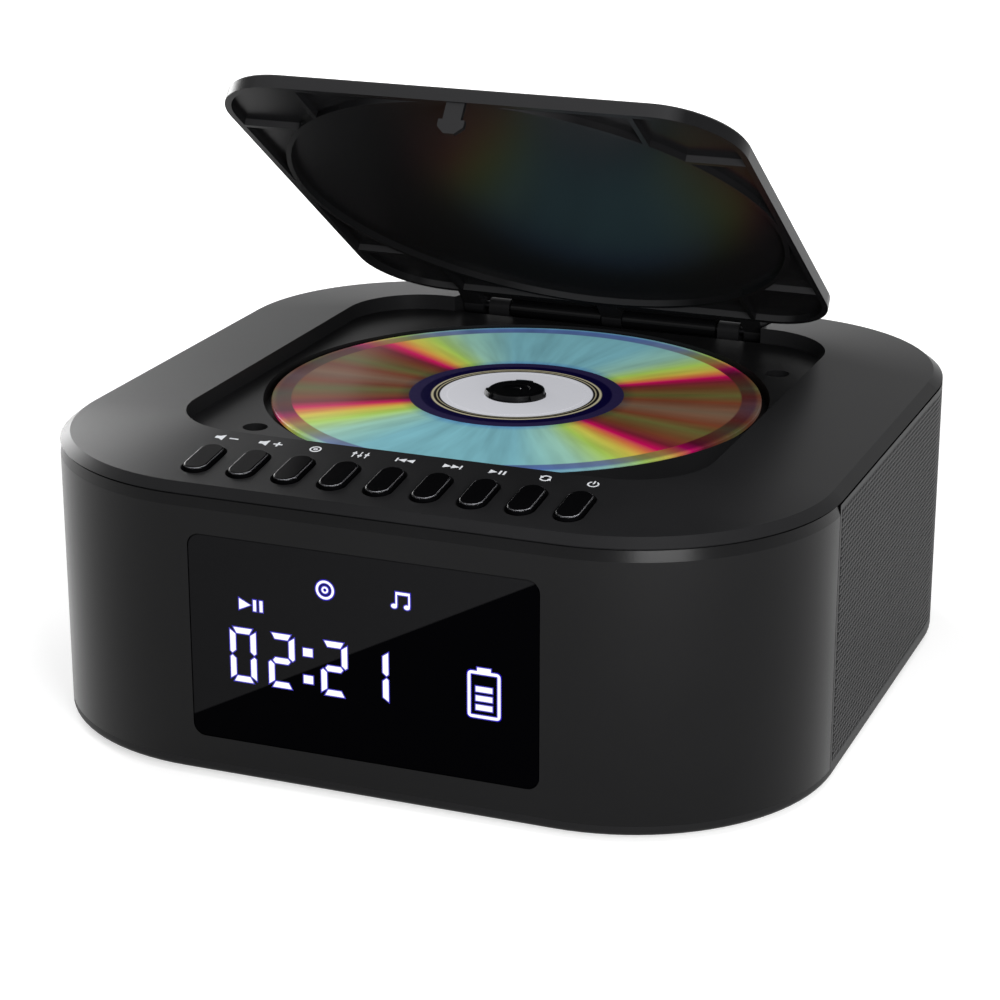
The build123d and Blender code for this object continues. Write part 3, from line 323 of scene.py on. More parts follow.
def plastic(name, colour, roughness, grain=0.25, specular=0.5, grain_scale=FINE_GRAIN):
    """Moulded plastic: a fine spark-eroded grain, and slow changes of tone and gloss."""
    made = Shader(name)
    slow = made.noise(SLOW_GRAIN, 4)
    tones = [(0.35, scaled(colour, 0.86)), (0.65, scaled(colour, 1.12))]
    made.link(made.ramp(slow, tones), made.shader.inputs["Base Color"])
    made.link(made.spread(slow, roughness - 0.03, roughness + 0.03), made.shader.inputs["Roughness"])
    made.set(Specular_IOR_Level=specular)
    made.bump(made.noise(grain_scale, 2), grain, PLASTIC_BUMP)
    return made.material


def metal(name, colour, roughness, brushed=(1, 1, 1)):
    """Plain metal with fine brushing along one direction."""
    made = Shader(name)
    grain = made.noise(BRUSH_GRAIN, 3, brushed)
    tones = [(0.3, scaled(colour, 0.8)), (0.7, colour)]
    made.link(made.ramp(grain, tones), made.shader.inputs["Base Color"])
    made.link(made.spread(grain, roughness - 0.06, roughness + 0.08), made.shader.inputs["Roughness"])
    made.set(Metallic=1.0)
    made.bump(grain, 0.12, METAL_BUMP)
    return made.material


def lid_plastic_painted_highlight():
    """Satin plastic of the lid, with its front wall painted paler: a painted highlight where light falls on
    it.
    """
    made = Shader("lid_satin_painted_highlight")
    place = made.node("ShaderNodeTexCoord")
    front = made.node("ShaderNodeVectorMath", operation="DOT_PRODUCT")
    made.link(place.outputs["Normal"], front.inputs[0])
    front.inputs[1].default_value = (0, -cos(radians(LID_ANGLE)), sin(radians(LID_ANGLE)))
    # painted highlight on the front wall, chosen by which way the surface faces
    tones = [(0.9, linear(21, 21, 22)), (0.97, linear(46, 46, 47))]
    made.link(made.ramp(front.outputs["Value"], tones), made.shader.inputs["Base Color"])
    gloss = made.spread(made.noise(SLOW_GRAIN, 4), 0.23, 0.29)
    made.link(gloss, made.shader.inputs["Roughness"])
    made.set(Specular_IOR_Level=0.055)
    made.bump(made.noise(FINE_GRAIN, 2), 0.1, PLASTIC_BUMP)
    return made.material


def board_green():
    """Circuit board laminate: green mask with lighter tracks."""
    made = Shader("board_green")
    place = made.node("ShaderNodeTexCoord")
    tracks = made.node("ShaderNodeTexBrick")
    tracks.inputs["Scale"].default_value = 130
    tracks.inputs["Color1"].default_value = linear(12, 70, 38)
    tracks.inputs["Color2"].default_value = linear(16, 82, 44)
    tracks.inputs["Mortar"].default_value = linear(54, 128, 76)
    tracks.inputs["Mortar Size"].default_value = 0.05
    made.link(place.outputs["Object"], tracks.inputs["Vector"])
    made.link(tracks.outputs["Color"], made.shader.inputs["Base Color"])
    made.link(made.spread(made.noise(60), 0.3, 0.45), made.shader.inputs["Roughness"])
    return made.material


def printed(name, colour, glow):
    """A printed colour, with some painted glow that keeps it evenly bright though it is no lamp."""
    made = Shader(name)
    tones = [(0.3, scaled(colour, 0.85)), (0.6, colour)]
    tone = made.ramp(made.noise(1500, 2), tones)
    made.link(tone, made.shader.inputs["Base Color"])
    made.link(tone, made.shader.inputs["Emission Color"])
    # painted glow: the print emits light though it is no lamp
    made.set(Roughness=0.5, Specular_IOR_Level=0.2, Emission_Strength=glow)
    return made.material


def lit(name, colour, strength):
    """A lit display element, slightly uneven as the diffuser behind it is."""
    made = Shader(name)
    made.set(Base_Color=(0, 0, 0, 1), Roughness=0.3, Emission_Strength=strength)
    tones = [(0.3, scaled(colour, 0.9)), (0.7, colour)]
    made.link(made.ramp(made.noise(300), tones), made.shader.inputs["Emission Color"])
    return made.material


def disc_colours():
    """Colours of the disc by angle and radius, as its track grating and its hub give them: painted
    reflection colours that also glow as painted light.
    """
    made = Shader("disc_play_side_painted_reflection")
    place = made.node("ShaderNodeTexCoord")
    split = made.node("ShaderNodeSeparateXYZ")
    made.link(place.outputs["Object"], split.inputs["Vector"])
    x, y = split.outputs["X"], split.outputs["Y"]
    squares = made.math("ADD", made.math("MULTIPLY", x, x), made.math("MULTIPLY", y, y))
    radius = made.math("DIVIDE", made.math("SQRT", squares), MM)
    angle = made.math("SUBTRACT", made.math("ARCTAN2", y, x), radians(CAMERA_AZIMUTH))
    in_band = made.math("GREATER_THAN", radius, DATA_RADIUS)
    angle = made.math("ADD", angle, made.math("MULTIPLY", in_band, radians(BAND_SHIFT)))
    turn = made.math("FRACT", made.math("ADD", made.math("DIVIDE", angle, 2 * pi), 2.0))
    # painted reflection: two bright fans of colour, set by the angle from the camera's right
    fans = []
    for middle, half in REFLECTION_FANS:
        away = made.math("PINGPONG", made.math("SUBTRACT", angle, radians(middle)), pi)
        fans.append(made.math("DIVIDE", away, radians(half)))
    reach = REFLECTION_SPECTRUM[-1][0]
    place_in_fan = made.math("DIVIDE", made.math("MINIMUM", *fans), reach)
    data = made.ramp(place_in_fan, [(place / reach, linear(*colour)) for place, colour in REFLECTION_SPECTRUM])
    spokes = made.node("ShaderNodeCombineXYZ")
    made.link(made.math("MULTIPLY", turn, STREAKS), spokes.inputs["X"])
    made.link(made.math("MULTIPLY", radius, STREAK_CHANGE), spokes.inputs["Y"])
    fine = made.node("ShaderNodeTexNoise")
    fine.inputs["Scale"].default_value = 1.0
    made.link(spokes.outputs[0], fine.inputs["Vector"])
    dimmer = grey(1 - STREAK_DEPTH)
    brighter = grey(1 + STREAK_DEPTH)
    streaks = made.ramp(fine.outputs["Fac"], [(0.3, dimmer), (0.7, brighter)])
    data = made.mix("MULTIPLY", 1.0, data, streaks)
    mirror_end = MIRROR_RADIUS / DISC_RADIUS
    data_end = DATA_RADIUS / DISC_RADIUS
    # painted reflection: a blue fringe at the mirror band and a lavender outer band
    tints = [
        (mirror_end, linear(196, 214, 255)), (mirror_end + 0.05, grey(1)), (data_end - 0.006, grey(1)),
        (data_end - 0.002, linear(236, 232, 244)), (data_end + 0.002, linear(182, 156, 206)),
        (0.975, linear(176, 158, 226)), (0.99, linear(226, 230, 255)),
    ]
    tint = made.ramp(made.math("DIVIDE", radius, DISC_RADIUS), tints)
    data = made.mix("MULTIPLY", 1.0, data, tint)
    stops = [(ring / MIRROR_RADIUS, linear(*colour)) for ring, colour in HUB_RINGS]
    hub = made.ramp(made.math("DIVIDE", radius, MIRROR_RADIUS), stops)
    whole = made.mix("MIX", made.math("GREATER_THAN", radius, MIRROR_RADIUS), hub, data)
    dull = made.mix("MULTIPLY", 1.0, whole, grey(DISC_DIFFUSE))
    made.link(dull, made.shader.inputs["Base Color"])
    # painted glow: the same colours are emitted, though the disc is no lamp
    made.link(whole, made.shader.inputs["Emission Color"])
    made.link(made.spread(fine.outputs["Fac"], 0.26, 0.36), made.shader.inputs["Roughness"])
    made.set(Specular_IOR_Level=0.06, Emission_Strength=DISC_PAINTED_GLOW)
    return made.material


def window_gloss():
    """Dark polished window with a paler half above a slanting line, a painted reflection."""
    made = Shader("window_gloss")
    place = made.node("ShaderNodeTexCoord")
    split = made.node("ShaderNodeSeparateXYZ")
    made.link(place.outputs["Object"], split.inputs["Vector"])
    height = made.math("SUBTRACT", split.outputs["Z"], REFLECTION_SLANT_FOOT * MM)
    rise = made.math("SUBTRACT", height, made.math("MULTIPLY", split.outputs["X"], REFLECTION_SLANT_SLOPE))
    above = made.math("MULTIPLY", rise, 1 / (REFLECTION_SLANT_BLUR * MM))
    # painted reflection: paler base colour above the slanting line
    tones = [(0.0, linear(0, 0, 1)), (0.9, linear(21, 21, 22)), (1.0, linear(23, 23, 24))]
    made.link(made.ramp(made.math("MINIMUM", above, 1.0), tones), made.shader.inputs["Base Color"])
    made.link(made.spread(made.noise(40), 0.03, 0.06), made.shader.inputs["Roughness"])
    made.set(Specular_IOR_Level=0.01)
    return made.material


PALETTE = {
    "shell": plastic("shell_satin", linear(8, 8, 9), 0.25, specular=0.13),
    "cover": plastic("cover_satin", linear(29, 29, 30), 0.34, specular=0.045),
    "base": plastic("base_satin", linear(16, 16, 17), 0.45, specular=0.12),
    "key": plastic("key_gloss", linear(6, 6, 7), 0.2, grain=0.06, specular=0.03),
    "lid": lid_plastic_painted_highlight(),
    "dark": plastic("dark_part", linear(26, 26, 28), 0.45, specular=0.2),
    "hub": plastic("hub_black", linear(8, 8, 9), 0.28, grain=0.08, specular=0.15),
    "rubber": plastic("rubber_black", linear(20, 20, 21), 0.85, 0.6, 0.15, 900),
    "acetal": plastic("gear_acetal", linear(222, 218, 205), 0.4),
    "cone": plastic("cone_pulp", linear(34, 34, 36), 0.9, 0.9, 0.15, 700),
    "sleeve": plastic("cell_sleeve", linear(34, 78, 140), 0.25, grain=0.1),
    "steel": metal("steel_plated", linear(196, 197, 200), 0.28, (1, 1, 14)),
    "black_steel": metal("steel_blackened", linear(34, 34, 36), 0.4, (14, 1, 1)),
    "can": metal("motor_can", linear(176, 177, 180), 0.34, (1, 1, 10)),
    "magnet": metal("magnet_plate", linear(120, 121, 126), 0.42),
    "board": board_green(),
    "window": window_gloss(),
    "segment": plastic("segment_black", linear(10, 10, 14), 0.3),
    "lens": plastic("lens_coated", linear(90, 96, 180), 0.05, grain=0.0, specular=1.0),
}
KEYS = [name for name in nodes if name.startswith("key_") and name != "key_board"]
NODE_LOOKS = {
    "shell": ["body_shell"],
    "cover": ["top_cover"],
    "base": ["base_cover", "battery_tray", "touch_latch"],
    "key": KEYS,
    "lid": ["lid_shell"],
    "dark": ["mech_deck", "pickup_sled", "lens_holder", "tact_switches", "board_parts", "audio_jack",
             "speaker_basket_left", "speaker_basket_right"],
    "hub": ["hub_cap", "turntable"],
    "rubber": ["rubber_feet", "deck_dampers", "speaker_surround_left", "speaker_surround_right"],
    "acetal": ["feed_rack", "transfer_gear", "feed_pinion"],
    "cone": ["speaker_cone_left", "speaker_cone_right"],
    "sleeve": ["battery_cells"],
    "steel": ["guide_rods", "base_screws", "cover_screws", "board_screws", "usb_socket", "charge_inlet"],
    "black_steel": ["hinge_rod", "lid_spring"],
    "can": ["spindle_motor", "feed_motor"],
    "magnet": ["speaker_magnet_left", "speaker_magnet_right"],
    "board": ["display_board", "key_board", "main_board"],
    "window": ["display_window"],
    "segment": ["display_module"],
    "lens": ["lens"],
}
for look, names in NODE_LOOKS.items():
    for name in names:
        nodes[name].data.materials.clear()
        nodes[name].data.materials.append(PALETTE[look])


def finish_mesh(name, mesh, body, material):
    """An object from a bmesh in millimetres, riding on a body."""
    for vertex in mesh.verts:
        vertex.co *= MM
    data = bpy.data.meshes.new(name)
    mesh.to_mesh(data)
    mesh.free()
    data.materials.append(material)
    made = bpy.data.objects.new(name, data)
    bpy.context.scene.collection.objects.link(made)
    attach(made, body)
    return made


def bridge(mesh, rings):
    """Faces between closed rings of vertices, and from the last ring back to the first."""
    for near, far in zip(rings, rings[1:] + rings[:1]):
        for k in range(len(near)):
            j = (k + 1) % len(near)
            mesh.faces.new((near[k], far[k], far[j], near[j]))


def add_plate(mesh, outline, place, thickness):
    """A flat plate of one closed outline, standing up from its plane by thickness."""
    low = [mesh.verts.new(place @ Vector((x, y, 0))) for x, y in outline]
    high = [mesh.verts.new(place @ Vector((x, y, thickness))) for x, y in outline]
    mesh.faces.new(high)
    mesh.faces.new(list(reversed(low)))
    for i in range(len(outline)):
        j = (i + 1) % len(outline)
        mesh.faces.new((low[i], low[j], high[j], high[i]))


def rectangle(x, y, width, height):
    """Corners of a rectangle about its middle."""
    sides = ((-1, -1), (1, -1), (1, 1), (-1, 1))
    return [(x + sx * width / 2, y + sy * height / 2) for sx, sy in sides]


def arc_band(x, y, radius, width, start, end, steps):
    """Short plates that make a ring or an arc of a ring."""
    bands = []
    inner, outer = radius - width / 2, radius + width / 2
    for step in range(steps):
        a = radians(start + (end - start) * step / steps)
        b = radians(start + (end - start) * (step + 1) / steps)
        bands.append([
            (x + inner * cos(a), y + inner * sin(a)), (x + outer * cos(a), y + outer * sin(a)),
            (x + outer * cos(b), y + outer * sin(b)), (x + inner * cos(b), y + inner * sin(b)),
        ])
    return bands


def round_box(x, y, width, height, radius, steps=5):
    """Outline of a rectangle with round corners."""
    points = []
    for sx, sy, start in ((1, 1, 0), (-1, 1, 90), (-1, -1, 180), (1, -1, 270)):
        for step in range(steps + 1):
            a = radians(start + 90 * step / steps)
            cx, cy = x + sx * (width / 2 - radius), y + sy * (height / 2 - radius)
            points.append((cx + radius * cos(a), cy + radius * sin(a)))
    return points


def frame_band(x, y, width, height, radius, line):
    """A rounded rectangle drawn as a line."""
    outer = round_box(x, y, width, height, radius)
    inner = round_box(x, y, width - 2 * line, height - 2 * line, max(radius - line, 0.05))
    count = len(outer)
    return [[inner[i], outer[i], outer[(i + 1) % count], inner[(i + 1) % count]] for i in range(count)]


def play_sign(x, y, height):
    """A triangle and two bars."""
    half = height / 2
    return [
        [(x - 1.2 * height, y - half), (x - 0.15 * height, y), (x - 1.2 * height, y + half)],
        rectangle(x + 0.25 * height, y, 0.28 * height, height),
        rectangle(x + 0.85 * height, y, 0.28 * height, height),
    ]


def skip_sign(x, y, height, way):
    """Two triangles and a bar, pointing along way."""
    half = height / 2
    shapes = [rectangle(x + way * 1.25 * height, y, 0.22 * height, height)]
    for place in (-1.15, 0.0):
        start, tip = x + way * place * height, x + way * (place + 1.1) * height
        points = [(start, y - half), (tip, y), (start, y + half)]
        shapes.append(points if way > 0 else list(reversed(points)))
    return shapes


def sound_sign(x, y, height, plus):
    """A loudspeaker with a minus or a plus beside it."""
    left = x - 0.9 * height
    shapes = [
        rectangle(left, y, 0.34 * height, 0.42 * height),
        [(left + 0.17 * height, y - 0.21 * height), (left + 0.6 * height, y - 0.5 * height),
         (left + 0.6 * height, y + 0.5 * height), (left + 0.17 * height, y + 0.21 * height)],
        rectangle(x + 0.6 * height, y, 0.8 * height, 0.16 * height),
    ]
    if plus:
        for side in (-1, 1):
            arm = y + side * 0.24 * height
            shapes.append(rectangle(x + 0.6 * height, arm, 0.16 * height, 0.32 * height))
    return shapes


def disc_sign(x, y, height):
    """A ring with a small ring inside."""
    outer = arc_band(x, y, 0.44 * height, 0.13 * height, 0, 360, 24)
    return outer + arc_band(x, y, 0.14 * height, 0.1 * height, 0, 360, 14)


def tone_sign(x, y, height):
    """Three sliders at different heights."""
    shapes = []
    for place, level in ((-0.55, 0.2), (0.0, -0.18), (0.55, 0.08)):
        shapes.append(rectangle(x + place * height, y, 0.1 * height, height))
        shapes.append(rectangle(x + place * height, y + level * height, 0.36 * height, 0.2 * height))
    return shapes


def mode_sign(x, y, height):
    """Two arcs with arrow heads that chase each other."""
    shapes = []
    for start in (20, 200):
        shapes += arc_band(x, y, 0.42 * height, 0.14 * height, start, start + 125, 12)
        a = radians(start + 125)
        tip = radians(start + 170)
        shapes.append([
            (x + 0.2 * height * cos(a), y + 0.2 * height * sin(a)),
            (x + 0.64 * height * cos(a), y + 0.64 * height * sin(a)),
            (x + 0.44 * height * cos(tip), y + 0.44 * height * sin(tip)),
        ])
    return shapes


def power_sign(x, y, height):
    """An open ring with a bar in its gap."""
    ring = arc_band(x, y, 0.42 * height, 0.13 * height, 122, 418, 22)
    return ring + [rectangle(x, y + 0.3 * height, 0.13 * height, 0.5 * height)]


def note_sign(x, y, height):
    """A pair of joined notes."""
    stem, head = 0.1 * height, 0.19 * height
    spots = [radians(30 * k) for k in range(12)]
    shapes = []
    for side in (-1, 1):
        foot = x + side * 0.4 * height
        shapes.append(rectangle(foot + head - stem / 2, y + 0.08 * height, stem, 0.8 * height))
        low = y - 0.36 * height
        shapes.append([(foot + head * cos(a), low + 0.75 * head * sin(a)) for a in spots])
    shapes.append(rectangle(x + head - stem / 2, y + 0.44 * height, 0.8 * height + stem, 0.16 * height))
    return shapes


def digit(text, x, y):
    """Seven-segment digit with mitred bars; x, y is its lower left corner."""
    width, height, stroke = DIGIT_WIDTH, DIGIT_HEIGHT, DIGIT_STROKE
    near, far = 0.5 * stroke, 1.2 * stroke
    mid, top, right = y + height / 2, y + height, x + width

    def level(edge, inward):
        outer, inner = edge, edge + inward * stroke
        close = near + 0.15 * stroke
        return [(x + close, outer), (right - close, outer), (right - far, inner), (x + far, inner)]

    def upright(edge, inward, end, away):
        outer, inner = edge, edge + inward * stroke
        blunt = mid + away * 0.2 * stroke
        return [
            (outer, end - away * near), (inner, end - away * far), (inner, mid + away * 0.75 * stroke),
            (outer + inward * 0.35 * stroke, blunt), (outer, blunt + away * 0.3 * stroke),
        ]

    half = stroke / 2
    shapes = {
        "a": level(top, -1), "d": level(y, 1),
        "b": upright(right, -1, top, 1), "c": upright(right, -1, y, -1),
        "f": upright(x, 1, top, 1), "e": upright(x, 1, y, -1),
        "g": [(x + near + 0.3 * stroke, mid), (x + far, mid + half), (right - far, mid + half),
              (right - near - 0.3 * stroke, mid), (right - far, mid - half), (x + far, mid - half)],
    }
    return [shapes[name] for name in SEGMENTS[text]]


def facing(outline):
    """The same outline, turned so that it runs counter-clockwise."""
    area = sum(a[0] * b[1] - b[0] * a[1] for a, b in zip(outline, outline[1:] + outline[:1]))
    return outline if area > 0 else list(reversed(outline))


def widen(outline, amount):
    """An outline moved outwards by amount from its own edges."""
    points = facing(outline)
    count = len(points)
    grown = []
    for i in range(count):
        before, here, after = (Vector(points[(i + k) % count]) for k in (-1, 0, 1))
        first, second = (here - before).normalized(), (after - here).normalized()
        out = Vector((first.y + second.y, -first.x - second.x))
        out = out.normalized() if out.length > 1e-6 else Vector((first.y, -first.x))
        side = max(0.5, out.dot(Vector((first.y, -first.x))))
        grown.append(tuple(here + out * amount / side))
    return grown


def on_slope(x, y):
    """Place and tilt of a point on the cover's front slope."""
    height = RIM_Z + (y + BODY_DEPTH / 2 - RIM_INSET) * CROWN_RISE / CROWN_RUN
    return Matrix.Translation((x, y, height)) @ Matrix.Rotation(CROWN_TILT, 4, "X")


def key_signs():
    """White signs on the cover behind the keys, lying on its slope."""
    slope = on_slope(0, LABEL_Y)
    big, small = SIGN_HEIGHT, ARROW_HEIGHT
    signs = {
        "key_volume_down": lambda x: sound_sign(x, 0, big, False),
        "key_volume_up": lambda x: sound_sign(x, 0, big, True),
        "key_source": lambda x: disc_sign(x, 0, big),
        "key_tone": lambda x: tone_sign(x, 0, big),
        "key_previous": lambda x: skip_sign(x, 0, small, -1),
        "key_next": lambda x: skip_sign(x, 0, small, 1),
        "key_play": lambda x: play_sign(x, 0, small),
        "key_mode": lambda x: mode_sign(x, 0, big),
        "key_standby": lambda x: power_sign(x, 0, big),
    }
    mesh = bmesh.new()
    for key, draw in signs.items():
        low, high = corners(key)
        for outline in draw((low.x + high.x) / 2):
            add_plate(mesh, facing(outline), slope, PRINT_THICKNESS)
    # the sign ink glows a little, a painted glow
    ink = printed("sign_ink_painted_glow", linear(206, 208, 212), 0.22)
    finish_mesh("key_signs", mesh, "housing", ink)


def display_signs():
    """Lit figures on the window: a clock reading, playback signs and a battery gauge."""
    low, high = corners("display_window")
    window = Matrix.Translation((0, low.y, CAMERA_FOOT)) @ Matrix.Rotation(pi / 2, 4, "X")
    shapes = []
    for text, x in DIGITS:
        shapes += digit(text, x, DIGIT_FOOT)
    for z in COLON_HEIGHTS:
        shapes.append(rectangle(COLON_X, z, *COLON_SIZE))
    shapes += play_sign(*DISPLAY_PLAY)
    shapes += disc_sign(*DISPLAY_DISC)
    shapes += note_sign(*DISPLAY_NOTE)
    shapes += frame_band(*BATTERY)
    shapes.append(rectangle(*BATTERY_CAP))
    x, z, width, height = BATTERY_LEVEL
    for level in range(BATTERY_LEVELS):
        shapes.append(rectangle(x, z + level * BATTERY_STEP, width, height))
    glow, mesh = bmesh.new(), bmesh.new()
    for outline in shapes:
        add_plate(glow, widen(outline, HALO_WIDTH), window, PRINT_THICKNESS / 2)
        add_plate(mesh, facing(outline), window, PRINT_THICKNESS)
    violet = lit("halo_violet", linear(46, 26, 220), 0.7)
    white = lit("sign_white", linear(250, 248, 255), 1.15)
    finish_mesh("display_halo", glow, "housing", violet)
    finish_mesh("display_signs", mesh, "housing", white)


def lathe(mesh, profile, steps):
    """Turns a closed profile of (radius, z) points about Z."""
    spots = [2 * pi * k / steps for k in range(steps)]
    rings = []
    for radius, z in profile:
        rings.append([mesh.verts.new((radius * cos(a), radius * sin(a), z)) for a in spots])
    bridge(mesh, rings)
    bmesh.ops.recalc_face_normals(mesh, faces=mesh.faces)


def disc_piece():
    """The disc with its stacking ridge and a rounded edge."""
    top, bottom = DISC_TOP, DISC_TOP - DISC_THICKNESS
    ridge, edge = STACK_RIDGE, DISC_EDGE
    profile = [
        (DISC_HOLE, bottom), (DISC_HOLE, top - edge), (DISC_HOLE + edge, top), (16.9, top),
        (17.2, top - ridge), (17.7, top - ridge), (18.0, top), (CLEAR_RADIUS, top),
        (19.5, top + ridge), (20.1, top + ridge), (20.5, top), (MIRROR_RADIUS, top),
        (DATA_RADIUS, top), (DISC_RADIUS - edge, top), (DISC_RADIUS, top - edge),
        (DISC_RADIUS, bottom + edge), (DISC_RADIUS - edge, bottom),
    ]
    mesh = bmesh.new()
    lathe(mesh, profile, DISC_STEPS)
    made = finish_mesh("disc_dressed", mesh, "spindle", disc_colours())
    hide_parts("disc")


def hub_piece():
    """Snap hub: domed cap, a groove and three tabs that reach over the disc's hole."""
    low, high = corners("hub_cap")
    top = high.z - HUB_SINK
    above = DISC_TOP + 0.1
    profile = [
        (0.01, low.z), (HUB_RADIUS, low.z), (HUB_RADIUS, DISC_TOP), (HUB_NECK, above),
        (HUB_NECK, top - 0.55), (6.85, top - 0.25), (6.5, top - 0.06), (6.0, top), (3.4, top),
        (3.2, top - 0.18), (1.2, top - 0.22), (1.0, top - 0.45), (0.01, top - 0.45),
    ]
    tab = [(6.2, above), (7.8, above), (7.95, DISC_TOP + 0.45), (7.5, top - 0.15), (6.2, top + 0.04)]
    mesh = bmesh.new()
    lathe(mesh, profile, HUB_STEPS)
    for k in range(HUB_TABS):
        middle = radians(HUB_TAB_TURN + 360 * k / HUB_TABS)
        spots = [middle + radians(HUB_TAB_HALF) * step / 3 for step in range(-3, 4)]
        rows = [[mesh.verts.new((radius * cos(a), radius * sin(a), z)) for a in spots] for radius, z in tab]
        for first, second in zip(rows, rows[1:] + rows[:1]):
            for step in range(len(spots) - 1):
                mesh.faces.new((first[step], first[step + 1], second[step + 1], second[step]))
        for end in (0, -1):
            mesh.faces.new([row[end] for row in rows])
    bmesh.ops.recalc_face_normals(mesh, faces=mesh.faces)
    made = finish_mesh("hub_dressed", mesh, "spindle", PALETTE["hub"])
    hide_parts("hub_cap")


def hinge_sleeve():
    """Dark sleeves of the lid round the hinge rod, with webs up to the lid's rear tongue."""
    mesh = bmesh.new()
    hinge = Matrix.Translation((0, HINGE_Y, HINGE_Z)) @ Matrix.Rotation(-radians(LID_ANGLE), 4, "X")
    spots = [2 * pi * k / SLEEVE_SIDES for k in range(SLEEVE_SIDES)]
    y0, y1, z0, z1 = WEB
    web = hinge @ Matrix.Translation((0, 0, z0))
    for x0, x1 in SLEEVES:
        tube = ((x0, SLEEVE_BORE), (x0, SLEEVE_RADIUS), (x1, SLEEVE_RADIUS), (x1, SLEEVE_BORE))
        rings = []
        for x, radius in tube:
            points = [hinge @ Vector((x, radius * cos(a), radius * sin(a))) for a in spots]
            rings.append([mesh.verts.new(point) for point in points])
        bridge(mesh, rings)
        add_plate(mesh, [(x0, y0), (x1, y0), (x1, y1), (x0, y1)], web, z1 - z0)
    bmesh.ops.recalc_face_normals(mesh, faces=mesh.faces)
    finish_mesh("hinge_sleeve", mesh, "lid", PALETTE["hub"])


def key_rims():
    """Thin bright edges of the keys, a painted highlight, brighter where they face the front right."""
    made = Shader("key_rim")
    place = made.node("ShaderNodeTexCoord")
    facing_light = made.node("ShaderNodeVectorMath", operation="DOT_PRODUCT")
    made.link(place.outputs["Normal"], facing_light.inputs[0])
    facing_light.inputs[1].default_value = (0.55, -0.75, 0.2)
    # painted highlight: edges facing the front right are coloured brighter
    tones = [(0.25, linear(14, 14, 15)), (0.6, linear(120, 120, 124)), (0.9, linear(190, 190, 196))]
    made.link(made.ramp(facing_light.outputs["Value"], tones), made.shader.inputs["Base Color"])
    made.set(Roughness=0.3, Specular_IOR_Level=0.3)
    for key in KEYS:
        low, high = corners(key)
        slope = on_slope((low.x + high.x) / 2, KEY_Y)
        mesh = bmesh.new()
        rings = []
        for inset, depth in KEY_RIM:
            width, length = KEY_WIDTH - 2 * inset, KEY_LENGTH - 2 * inset
            outline = round_box(0, 0, width, length, KEY_WIDTH / 2 - inset - 0.01, 10)
            points = [slope @ Vector((a, b, KEY_PROUD - depth)) for a, b in outline]
            rings.append([mesh.verts.new(point) for point in points])
        bridge(mesh, rings)
        bmesh.ops.recalc_face_normals(mesh, faces=mesh.faces)
        body = key.removeprefix("key_") + "_key"
        finish_mesh(f"{key}_rim", mesh, body, made.material)


def case_point(along, height, side, inset):
    """A point of the case's side at a distance along it from the middle of the flat, at a height."""
    half = BODY_WIDTH / 2 - inset
    flat = BODY_DEPTH / 2 - CORNER_RADIUS
    radius = CORNER_RADIUS - inset
    if along <= flat:
        return Vector((side * half, along, height))
    turn = (along - flat) / CORNER_RADIUS
    return Vector((side * (half - radius + radius * cos(turn)), flat + radius * sin(turn), height))


def grille_piece(side, name, node):
    """A curved sheet with hexagonal cells, each with its own hole, and a plain border."""
    low, high = corners(node)
    flat = BODY_DEPTH / 2 - CORNER_RADIUS
    end = flat + CORNER_RADIUS * asin((high.y - flat) / CORNER_RADIUS)
    start = low.y
    row = HOLE_PITCH * 3 ** 0.5 / 2
    columns = int((end - start - 2 * GRILLE_BORDER) / HOLE_PITCH) - 1
    rows = int((high.z - low.z - 2 * GRILLE_BORDER) / row) - 1
    left = (start + end) / 2 - columns * HOLE_PITCH / 2
    bottom = (low.z + high.z) / 2 - (rows - 1) * row / 2
    cell = HOLE_PITCH / 3 ** 0.5
    spots = [radians(30 + 60 * k) for k in range(HOLE_SIDES)]
    mesh = bmesh.new()
    cache = {}

    def vertex(u, v, depth):
        key = (round(u, 3), round(v, 3), depth)
        if key not in cache:
            cache[key] = mesh.verts.new(case_point(u, v, side, depth))
        return cache[key]

    for r in range(rows):
        for c in range(columns):
            u = left + (c + 0.5 * (r % 2) + 0.25) * HOLE_PITCH
            v = bottom + r * row
            outer, inner, deep = (
                [vertex(u + radius * cos(a), v + radius * sin(a), depth) for a in spots]
                for radius, depth in ((cell, 0.0), (HOLE_RADIUS, 0.0), (HOLE_RADIUS, HOLE_DEPTH))
            )
            for k in range(HOLE_SIDES):
                j = (k + 1) % HOLE_SIDES
                mesh.faces.new((outer[k], outer[j], inner[j], inner[k]))
                mesh.faces.new((inner[k], inner[j], deep[j], deep[k]))
    u_low, u_high = left - 0.35 * HOLE_PITCH, left + (columns + 0.6) * HOLE_PITCH
    v_low, v_high = bottom - 0.6 * cell, bottom + (rows - 1) * row + 0.6 * cell
    for v0, v1 in ((low.z, v_low), (v_high, high.z)):
        for step in range(GRILLE_EDGE_STEPS):
            a, b = (start + (end - start) * (step + k) / GRILLE_EDGE_STEPS for k in (0, 1))
            corners_uv = ((a, v0), (b, v0), (b, v1), (a, v1))
            mesh.faces.new([mesh.verts.new(case_point(u, v, side, 0.0)) for u, v in corners_uv])
    for u0, u1 in ((start, u_low), (u_high, end)):
        corners_uv = ((u0, v_low), (u1, v_low), (u1, v_high), (u0, v_high))
        mesh.faces.new([mesh.verts.new(case_point(u, v, side, 0.0)) for u, v in corners_uv])
    if side < 0:
        bmesh.ops.reverse_faces(mesh, faces=mesh.faces)
    paint = plastic("grille_paint", linear(22, 22, 24), 0.5, 0.4, 0.2, 1800)
    made = finish_mesh(name, mesh, "housing", paint)
    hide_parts(node)


